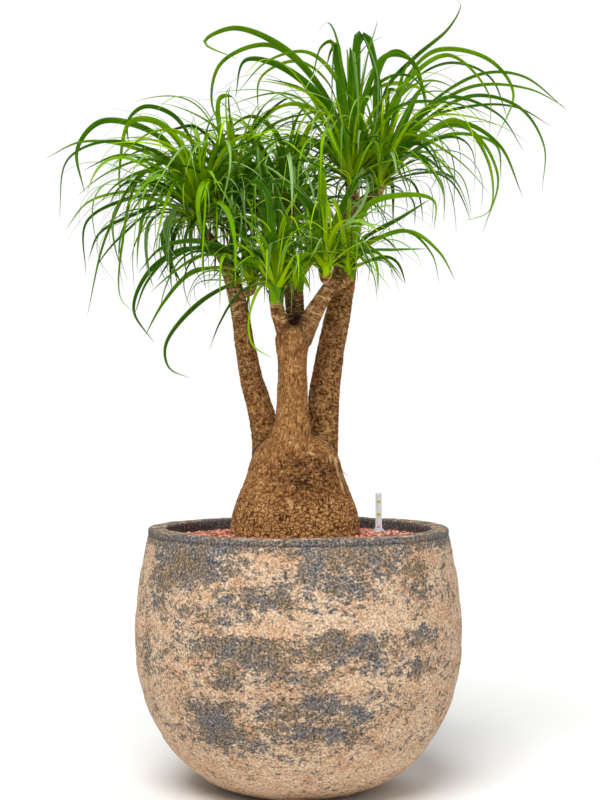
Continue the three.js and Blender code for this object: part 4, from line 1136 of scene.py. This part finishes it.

# %% [markdown]
# ## The leaves
# A leaf is a strap that starts broad and clasping, arches over and tapers to a
# thread. Each one is drawn by its midrib: a few points, a width and the way that
# it faces. The leaves that show one by one are listed and give the crown its
# outline. The others follow the rule of the measured model, in which each
# leaf turns a golden angle from the last, with more of them here, so that the
# heads close up. In all there are 945, and 110 short leaf bases clasp the tips.

# %% Heads
# Each has its leaves' length, the height they hang down to and how many follow the rule. A row
# is a leaf given one by one: the depth of its tip, its width, and points across and up.
HEADS = {
    "left_out": (228, 742, 195, [
    [-20, 12, -12, 28, -32, 55, -48, 75, -75, 90, -105, 80],
    [-50, 8, 5, 60, 13, 110, 17, 114, 8, 85, -2, 55, -8, 35],
    [40, 11, -10, 95, -40, 145, -85, 160, -110, 140, -110, 105],
    [-40, 11, -20, 85, -60, 130, -100, 130, -115, 65, -115, 5],
    [20, 12, -35, 85, -85, 125, -150, 135, -185, 95, -175, 30],
    [-30, 7, -35, 60, -105, 95, -175, 100, -225, 75],
    [-70, 6, -45, 75, -130, 100, -190, 70, -200, -20],
    [-70, 8, -30, 45, -75, 55, -115, 35, -140, 5],
    [30, 6, -40, 25, -110, 30, -170, 15, -205, -25],
    [-40, 7, -40, 20, -105, 15, -165, -20, -165, -100],
    [60, 7, -50, 10, -105, -5, -155, -30, -175, -70],
    [-60, 8, -40, 70, -90, 45, -135, -45, -160, -160],
    [-90, 11, -35, 70, -85, 45, -110, -60, -110, -135, -85, -160],
    [-90, 7, -55, 5, -110, -40, -140, -80, -145, -105],
    ]),
    "left_in": (255, 790, 170, [
    [-60, 8, -12, 60, -23, 84, -30, 58, -32, 20, -34, -10],
    [40, 10, -5, 70, 40, 135, 80, 170, 100, 170],
    [60, 9, -25, 80, -65, 125, -95, 125, -125, 120],
    [-50, 10, -20, 85, -25, 160, -5, 160, 15, 115],
    ]),
    "left_low": (180, 700, 56, [
    [-50, 10, -30, 30, -60, 45, -100, 48, -135, 35, -165, 0],
    [-20, 9, -25, 20, -55, 38, -90, 38, -120, 20, -140, -10],
    [-30, 9, -45, 10, -92, 0, -130, -42, -158, -93],
    [40, 9, -40, 35, -105, 38, -155, 8, -180, -50, -150, -100],
    [-70, 7, -35, 25, -75, 26, -120, -5, -145, -30],
    [60, 7, -40, 30, -110, 40, -160, -5, -183, -58],
    [-70, 8, -40, 30, -85, 20, -98, -15, -84, -63],
    ]),
    "mid_front": (190, 738, 104, [
    [-80, 9, 5, 80, 2, 140, -12, 160, -30, 148, -50, 115, -62, 80, -68, 40, -70, -20],
    [-20, 12, -4, 25, -10, 65, -14, 95, -25, 120, -45, 135],
    [-60, 10, -5, 60, -7, 110, -6, 137, 2, 135, 12, 112, 26, 85],
    [-60, 7, 6, 55, 14, 80, 34, 90, 55, 80, 70, 45],
    [-40, 6, 8, 70, 22, 100, 45, 105, 65, 75, 72, 45],
    [-40, 8, -12, 30, -26, 52, -46, 57, -62, 45, -68, 20],
    [-60, 10, -20, 30, -50, 35, -65, -15, -55, -65],
    [-40, 10, -30, 15, -105, -15, -160, -80, -155, -115, -125, -130],
    [-60, 9, -20, 10, -55, -10, -80, -50, -95, -90],
    [-70, 5, -20, 5, -38, -40, -33, -82, -5, -102],
    [-60, 9, -10, 25, -30, 40, -45, 40, -55, 25],
    [-60, 11, -5, 35, -5, 70, -10, 30, -15, 0],
    [-60, 12, -8, 80, -14, 150, -30, 198, -60, 170, -78, 125],
    [-90, 9, -15, 100, -28, 205, -15, 130, 30, 85],
    [-110, 12, -5, 60, -10, 130, -30, 150, -60, 115],
    [-50, 8, 5, 50, 20, 85, 38, 80, 50, 50],
    ]),
    "mid_back": (140, 750, 54, []),
    "mid_high": (262, 790, 190, [
    [-60, 9, 10, 70, 17, 122, 21, 128, 20, 100, 18, 70, 16, 35],
    [-40, 10, 20, 60, 26, 118, 32, 124, 34, 90, 36, 60],
    [-70, 9, -15, 60, -40, 108, -75, 120, -105, 90, -120, 40],
    [-80, 8, 5, 70, -15, 130, -50, 150, -85, 125, -100, 80],
    ]),
    "mid_left": (180, 750, 95, [
    [-60, 14, -5, 60, -8, 140, -22, 135, -30, 95],
    [-100, 12, -15, 70, -45, 105, -75, 112, -100, 75],
    [-80, 11, 15, 60, 50, 125, 60, 110, 45, 70, 15, 40],
    ]),
    "mid_right": (185, 742, 44, [
    [-50, 11, 30, 85, 85, 100, 125, 90, 125, 45],
    [30, 10, 30, 40, 80, 70, 125, 100],
    [-80, 8, 35, 30, 85, 45, 120, 10, 130, -35],
    [50, 7, 45, 35, 95, 50, 140, 20, 165, -20],
    [80, 6, 30, 20, 70, 25, 125, 30],
    [-70, 10, 20, 25, 50, 5, 80, -35],
    [-90, 7, 20, 15, 35, -20, 40, -60],
    [90, 6, 25, 25, 45, 5, 50, -35],
    ]),
    "top_left": (285, 868, 135, [
    [-30, 9, -6, 38, -15, 88, -23, 158, -31, 199, -46, 190, -59, 148, -73, 118],
    [30, 12, -3, 60, -6, 120, -15, 168, -21, 203, -30, 196, -38, 170],
    [-20, 9, 3, 38, -1, 98, -5, 158, -8, 187, -12, 180],
    [20, 14, 5, 50, 7, 118, 9, 185, 21, 213, 34, 178, 41, 130, 42, 90, 37, 60],
    [20, 8, 7, 58, 13, 120, 22, 190],
    [-25, 9, 9, 58, 17, 108, 28, 140, 37, 152, 43, 130, 44, 100],
    [-20, 7, 14, 68, 24, 118, 45, 140, 70, 150, 92, 145, 108, 125, 116, 100],
    [20, 13, -30, 100, -100, 190, -180, 225, -225, 205, -175, 180],
    [-60, 13, -30, 90, -100, 155, -160, 165, -175, 105],
    [50, 9, -50, 130, -125, 200, -200, 175, -215, 115, -190, 65],
    [90, 7, -35, 140, -85, 180, -140, 160, -145, 105],
    [-60, 7, -20, 135, -65, 180, -125, 165, -175, 110],
    [-50, 11, -15, 95, -25, 195, -30, 130, -30, 50],
    [-70, 14, 5, 110, 10, 210, 35, 150, 35, 80, 25, 30],
    [-130, 12, -2, 110, -2, 178, 4, 120, 6, 50],
    [-50, 10, 15, 95, 50, 175, 90, 165, 115, 75],
    ]),
    "top_right": (255, 850, 104, [
    [10, 16, 12, 35, 22, 75, 29, 115, 38, 160, 50, 185],
    [-10, 16, 14, 30, 30, 65, 46, 100, 60, 128, 80, 145],
    [-20, 11, 16, 18, 40, 50, 62, 75, 84, 92, 110, 98],
    [-30, 9, 8, 40, 12, 90, 14, 130, 24, 128, 36, 95],
    [-20, 9, -4, 70, -3, 150, 12, 185, 28, 191, 46, 178, 62, 140, 72, 95, 76, 70],
    [60, 11, 10, 130, 55, 185, 110, 235, 130, 275, 120, 290],
    [40, 9, 25, 115, 85, 195, 170, 185, 210, 135, 185, 65],
    [-80, 8, 25, 120, 100, 180, 160, 120, 160, 50],
    [40, 7, 60, 95, 155, 160, 225, 160, 295, 110],
    [-40, 7, 60, 85, 140, 135, 225, 130, 280, 100],
    [-70, 7, 60, 75, 140, 120, 210, 100, 245, 40, 240, -30],
    [70, 6, 65, 85, 155, 115, 220, 115, 275, 90],
    [-90, 7, 50, 75, 100, 115, 175, 85, 210, 25],
    [-40, 9, 45, 45, 120, 80, 180, 45, 215, -35],
    [60, 7, 50, 40, 120, 70, 185, 55, 195, 5],
    [-110, 10, 55, 50, 115, 80, 160, 15, 160, -60, 120, -80],
    [90, 6, 60, 65, 140, 80, 190, 10, 170, -75],
    [-90, 10, 20, 30, 55, 45, 85, 5, 70, -35],
    [-80, 9, 25, 25, 40, -15, 45, -45],
    [120, 6, 40, 135, 110, 185, 180, 170, 215, 105],
    ]),
}
print("leaves placed by hand:", sum(len(rows) for *_, rows in HEADS.values()))
LEAF = SimpleNamespace(  # degrees, millimetres and counts
    golden_angle=137.5, heart=13, root_out=5, root_rise=10, steep_rise=120,
    lean=50, depth_power=1.3, outline_steps=56, steps=24, bases=11,
    seed=20261,
)


# %% A listed leaf
def outline_leaf(depth, width, *points):
    """A leaf through points across and up from the heart, with the depth of its tip."""
    count = len(points) // 2
    places = np.array([(points[2 * i], depth * ((i + 1) / count) ** LEAF.depth_power, points[2 * i + 1])
                       for i in range(count)], float)
    far = places[np.argmax(np.hypot(places[:, 0], places[:, 1]))]
    bearing = unit(np.array([far[0], far[1], 0.0]))
    root = bearing * LEAF.root_out
    root[2] = LEAF.root_rise * float(np.clip(places[0][2] / LEAF.steep_rise, -1, 1))
    line, ahead = spline(np.vstack([root, places]), LEAF.outline_steps)
    across = np.cross(bearing, [0, 0, 1.0])
    side = unit(across - ahead * (ahead @ across)[:, None])
    lean = -math.copysign(LEAF.lean, -across[1])
    return {"line": line, "ahead": ahead, "side": side, "width": 1.1 * width, "taper": 2.8,
            "lean": lean, "age": 0.56}


# %% [markdown]
# A leaf that follows the rule starts at an angle that depends on its rank, and
# bends down under its own weight, most of all where it is folded over, while it
# drifts sideways a little. Its line is the sum of small steps along that changing
# direction, which gives the even arcs and curls of the real ones.

# %% A leaf by the rule
def arching_leaf(rank, count, length, chance):
    """The leaf of a given rank: inner ones stand, outer ones spread and hang."""
    outer = (rank + 0.5) / count
    rise = math.radians(84 - 86 * outer + 26 * (chance.random() - 0.5))
    fall = math.radians(55 + 40 * outer + 85 * chance.random())
    bearing = math.radians(rank * LEAF.golden_angle + 30 * chance.random())
    drift = math.radians(120 * (chance.random() - 0.5))
    share = np.linspace(0, 1, LEAF.steps + 1)
    hook = np.clip((share - 0.3 - 0.4 * chance.random()) / 0.45 + 0.5, 0, 1)
    climb = rise - fall * (0.45 * share ** 1.3 + 0.55 * hook ** 2 * (3 - 2 * hook))
    heading = bearing + drift * share ** 2
    ahead = np.column_stack([
        np.cos(climb) * np.cos(heading), np.cos(climb) * np.sin(heading), np.sin(climb)])
    side = np.column_stack([np.sin(heading), -np.cos(heading), np.zeros(len(share))])
    length = length * (0.55 + 0.6 * chance.random())
    line = np.cumsum(np.vstack([[0, 0, 0], ahead[:-1]]), axis=0) * length / LEAF.steps
    line += [7 * math.cos(bearing), 7 * math.sin(bearing), 8 - 26 * outer]
    return {"line": line, "ahead": ahead, "side": side, "width": 3.6 + 9.4 * chance.random() ** 2.6,
            "taper": 1.9, "lean": 55 * (2 * chance.random() - 1), "age": outer}


def sheath_leaf(rank, limb_radius, chance):
    """A short leaf base that clasps the tip of a branch."""
    bearing = rank * math.radians(LEAF.golden_angle)
    out = np.array([math.cos(bearing), math.sin(bearing), 0])
    foot, height = -29 + 22 * chance.random(), 28 + 22 * chance.random()
    points = [out * (limb_radius - 1) + [0, 0, foot], out * (limb_radius + 1.5) + [0, 0, foot + 0.3 * height],
              out * (limb_radius + 3) + [0, 0, foot + 0.65 * height],
              out * (limb_radius + 8 + 6 * chance.random()) + [0, 0, foot + height]]
    line, ahead = spline(points, 8)
    side = np.tile(np.cross(out, [0, 0, 1.0]), (len(line), 1))
    return {"line": line, "ahead": ahead, "side": side, "width": 11, "taper": 1.9,
            "lean": 0, "age": 0.3, "clasp": -0.65}


# %% [markdown]
# Leaves keep to their room. One that would hang below its head's lowest height,
# or leave the measured model's box, is drawn shorter until it fits. One whose
# line would pass through a trunk isn't grown.

# %% Room for leaves
ROOM = np.array(cad_box) / MM
EDGE = 3  # how far leaves stay inside the room
CUTS = 8  # how often a leaf is cut before it is left out
SHORTER, NARROWER = 0.92, 0.97  # what each cut leaves of it
CLEARANCE = 2.5  # how far leaves pass from a limb
OWN_STEPS = 5  # steps of a leaf for which its own limb doesn't count
TALLEST = 0.72  # how far leaves rise over their head's heart, as a share of its leaf length


def fitted(leaf, heart, lowest, tallest):
    """The leaf in its place, shortened about its root until it has room, or nothing."""
    line = leaf["line"]
    for _ in range(CUTS):
        placed = line + heart
        inside = (placed > ROOM[0] + EDGE).all() and (placed < ROOM[1] - EDGE).all()
        if inside and placed[:, 2].min() > lowest and line[:, 2].max() < tallest:
            return {**leaf, "line": placed}
        line = line[0] + (line - line[0]) * SHORTER
        leaf["width"] *= NARROWER
    return None


def clear_of_limbs(line, own):
    """Whether a leaf passes every limb, its own apart from the first steps."""
    for name, (middle, _, radii) in limb_lines.items():
        skip = OWN_STEPS if name == own else 1
        away = np.linalg.norm(line[skip:, None] - middle[None], axis=2) - radii[None]
        if away.min() < CLEARANCE:
            return False
    return True


# %% Grow the midribs of a head
def blade_rows(leaf):
    """Points of a leaf's midrib, and its half widths and the way across at each."""
    share = np.linspace(0, 1, len(leaf["line"]))
    turn = math.radians(leaf["lean"]) * np.minimum(2 * share, 1)
    side, ahead = leaf["side"], leaf["ahead"]
    side = side * np.cos(turn)[:, None] + np.cross(ahead, side) * np.sin(turn)[:, None]
    base = 1 + leaf.get("clasp", 0.95 - 0.5 * leaf["age"]) * np.exp(-share / 0.1)
    half = leaf["width"] / 2 * base * (1 - 0.96 * share ** leaf["taper"])
    return share, side, half


def rib_object(name, lines, ribs):
    """Midribs as one object of edges, with the values of each rib stored on its points."""
    edges, start = [], 0
    for line in lines:
        edges += [(k, k + 1) for k in range(start, start + len(line) - 1)]
        start += len(line)
    obj = mesh_object(name, np.vstack(lines), [], edges)
    for key in ribs[0]:
        store(obj, key, np.concatenate([rib[key] for rib in ribs]))
    return obj


def grow_head(name, number):
    """All leaves of a head, as one object whose edges are the midribs."""
    length, lowest, count, outline = HEADS[name]
    chance = np.random.default_rng(LEAF.seed + number)
    end = np.array(LIMBS[name][-1])
    heart = end[:3] + [0, 0, LEAF.heart]
    leaves = [outline_leaf(*row) for row in outline]
    for leaf in leaves:
        leaf["line"] = leaf["line"] + heart
    for rank in range(count):
        leaf = fitted(arching_leaf(rank, count, length, chance), heart, lowest, TALLEST * length)
        if leaf and clear_of_limbs(leaf["line"], name):
            leaves.append(leaf)
    grown = len(leaves)
    for rank in range(LEAF.bases):
        leaf = sheath_leaf(rank, end[3], chance)
        leaf["line"] = leaf["line"] + heart
        leaves.append(leaf)
    ribs = []
    for leaf in leaves:
        share, side, half = blade_rows(leaf)
        tone, age = chance.random() + 0 * share, leaf["age"] + 0 * share
        ribs.append({"half": half * MM, "side": side, "along": share, "tone": tone, "age": age})
    head = rib_object("leaves_" + name, [leaf["line"] for leaf in leaves], ribs)
    print(name, "grew", grown, "leaves")
    return head


# %% [markdown]
# The blade itself is a section run along the midrib: a shallow channel with thin
# margins and a slight keel. One Geometry Nodes tree does this for every leaf of
# a head. It turns the midribs into curves, sets the way they face, runs the
# section along them at the stored width, and keeps the margins sharp.

# %% Blade tree
tree, sizes = new_tree("blades", **{"Channel": "Float", "Keel": "Float", "Leaf": "Material"})
ribs = add(tree, "MeshToCurve", [sizes["Geometry"]])
side = add(tree, "InputNamedAttribute", ["side"], data_type="FLOAT_VECTOR")
faced = add(tree, "SetCurveNormal", {"Curve": ribs, "Normal": side}, mode="FREE")
raised = add(tree, "Math MULTIPLY", [sizes["Channel"], -1.0])
left, right, keel = [add(tree, "CombineXYZ", {"X": x, "Y": y}) for x, y in (
    (-1.0, raised), (1.0, raised), (0.0, sizes["Keel"]),
)]
section = add(tree, "CurvePrimitiveQuadrilateral", {
    "Point 1": left, "Point 2": (0, 0, 0), "Point 3": right, "Point 4": keel,
}, mode="POINTS")
corner = add(tree, "SeparateXYZ", [add(tree, "InputPosition")])
crossed = add(tree, "StoreNamedAttribute", {
    "Geometry": section, "Name": "across", "Value": corner.outputs["X"],
})
below = add(tree, "Compare GREATER_THAN", [corner.outputs["Y"], 0.01])
marked = add(tree, "StoreNamedAttribute", {"Geometry": crossed, "Name": "under", "Value": below})
half = add(tree, "InputNamedAttribute", ["half"])
blades = add(tree, "CurveToMesh", {
    "Curve": faced, "Profile Curve": marked, "Scale": half, "Fill Caps": True,
})
across = add(tree, "InputNamedAttribute", ["across"])
margin = add(tree, "Math ABSOLUTE", [across])
sharp = add(tree, "Compare GREATER_THAN", [margin, 0.95])
creased = add(tree, "SetShadeSmooth", {
    "Geometry": blades, "Selection": sharp, "Shade Smooth": False,
}, domain="EDGE")
finish_tree(tree, creased, sizes["Leaf"])
blade_tree = tree

# %% [markdown]
# A living leaf is smooth, with veins that run side by side from end to end. The
# base is pale yellow green, young leaves are bright, old ones deep green, and
# some tips have dried to straw. Where a leaf has bent over, a painted sheen pales
# its upper side, standing in for the light that its wax reflects. The veins are
# 2.8 mm apart, wider than life, so that they show.

# %% Leaf material
VEIN_SPACING = 2.8  # millimetres
leaf_green, tree, shader = plain_material("waxy_strap_leaf", "#5c9420", 0.42)
given = {name: add(tree, "Attribute", attribute_name=name).outputs["Fac"]
         for name in ("along", "across", "under", "tone", "age", "half")}
place = add(tree, "TexCoord").outputs["Object"]
lateral = add(tree, "Math MULTIPLY", [given["across"], given["half"]])
vein_turns = add(tree, "Math MULTIPLY", [lateral, 2 * math.pi / (VEIN_SPACING * MM)])
veins = add(tree, "Math COSINE", [vein_turns])
cloud = add(tree, "TexNoise", {"Vector": place, "Scale": 1 / (30 * MM), "Detail": 3.0})
older = add(tree, "Math MULTIPLY_ADD", [given["tone"], 0.7, -0.45])
aged = add(tree, "Math MULTIPLY_ADD", [given["age"], 0.7, older])
clouded = add(tree, "Math MULTIPLY_ADD", [cloud, 0.3, aged])
blade = add(tree, "ValToRGB", [clouded], stops=[
    (0.0, "#a5cb00"), (0.2, "#76a800"), (0.5, "#3d7400"), (0.85, "#1b4400"),
])
# Painted sheen: the upper side of bent-over parts is paled, standing in for reflected light.
upper_side = add(tree, "MapRange", [given["under"], 0, 0.3, 1.0, 0.0])
bent_over = add(tree, "MapRange", [given["along"], 0.25, 0.6])
waxy = add(tree, "MapRange", [given["tone"], 0.35, 0.95, 0, 0.8])
fresh = add(tree, "MapRange", [given["age"], 0.5, 0.9, 1.0, 0.2])
painted_sheen = upper_side
for share in (bent_over, waxy, fresh):
    painted_sheen = add(tree, "Math MULTIPLY", [painted_sheen, share])
young = add(tree, "MapRange", [given["along"], 0.04, 0.3, 0.8, 0.0])
vein_share = add(tree, "MapRange", [veins, 0.2, 1.0, 0.0, 0.16])
dry_from = add(tree, "MapRange", [given["tone"], 0.6, 1.0, 1.02, 0.86])
dryness = add(tree, "Math SUBTRACT", [given["along"], dry_from])
dry_share = add(tree, "MapRange", [dryness, 0, 0.07])
# The first layer is the painted sheen, a pale green standing in for reflected light.
layers = ((painted_sheen, "#a4cc82"), (young, "#a8c400"), (vein_share, "#a9cf20"), (dry_share, "#a98f5c"))
for share, colour in layers:
    blade = add(tree, "Mix", {"Factor": share, 6: blade, 7: linear(colour)}, data_type="RGBA").outputs[2]
bump = add(tree, "Bump", {"Height": veins, "Strength": 0.2, "Distance": 0.2 * MM})
plug(tree, shader, {"Base Color": blade, "Normal": bump, "Specular IOR Level": 0.05})

# %% Grow the ten heads
for number, name in enumerate(HEADS):
    head = grow_head(name, number)
    grow(head, blade_tree, **{"Channel": 0.3, "Keel": 0.09, "Leaf": leaf_green})
    hand_in(head, "leaf", "head_" + name)

# %% [markdown]
# Beside the trunk's foot, most of all on its right, thin strips of bark have come
# loose and curl away at their lower ends, pale inside. They are long and thin like
# leaves, so the same blade tree runs them down the base, a little off its skin.

# %% Torn strips of bark
STRIPS = [  # across, top, length, lean, how far the end lifts, width
    (52, 492, 20, 4, 2, 1.9), (57, 484, 28, 8, 3, 2.2), (63, 470, 32, 8, 4, 1.7),
    (67, 476, 12, 7, 8, 2.4), (71, 448, 18, 5, 3, 1.4), (-60, 486, 14, -5, 2, 1.6),
    (45, 497, 16, 2, 2, 1.6),
]
STRIP_POINTS = 12
lines, ribs = [], []
for across, top, length, lean, lift, width in STRIPS:
    share = np.linspace(0, 1, STRIP_POINTS)
    aside = across + lean * share - PLANT_X
    z = top - length * share
    radius = caudex_radius(z)
    out = unit(np.column_stack([aside, -np.sqrt(np.maximum(radius ** 2 - aside ** 2, 60)), 0 * z]))
    line = np.array([PLANT_X, 0, 0]) + out * (radius - 0.3 + lift * share ** 2.5)[:, None]
    line[:, 2] = z
    half = width / 2 * (1 - 0.75 * np.abs(2 * share - 1) ** 3)
    lines.append(line)
    ribs.append({"side": unit(np.cross(np.gradient(line, axis=0), out)), "half": half * MM})
strips = rib_object("torn_bark_strips", lines, ribs)
print("strips:", len(lines))

# %% Material of the strips: the pale inside of cork
torn, tree, shader = plain_material("torn_bark", "#c9a06a", 0.9)
place = add(tree, "VectorMath MULTIPLY", [add(tree, "TexCoord").outputs["Object"], (1, 1, 0.3)])
fibre = add(tree, "TexNoise", {"Vector": place, "Scale": 1 / (1.6 * MM), "Detail": 3.0})
colour = add(tree, "ValToRGB", [fibre], stops=[(0.36, "#5f3c1e"), (0.52, "#b98a54"), (0.68, "#ecd0a0")])
bump = add(tree, "Bump", {"Height": fibre, "Strength": 0.6, "Distance": 0.4 * MM})
plug(tree, shader, {"Base Color": colour, "Normal": bump})
grow(strips, blade_tree, **{"Channel": 0.35, "Keel": 0.3, "Leaf": torn})
hand_in(strips, "bark")
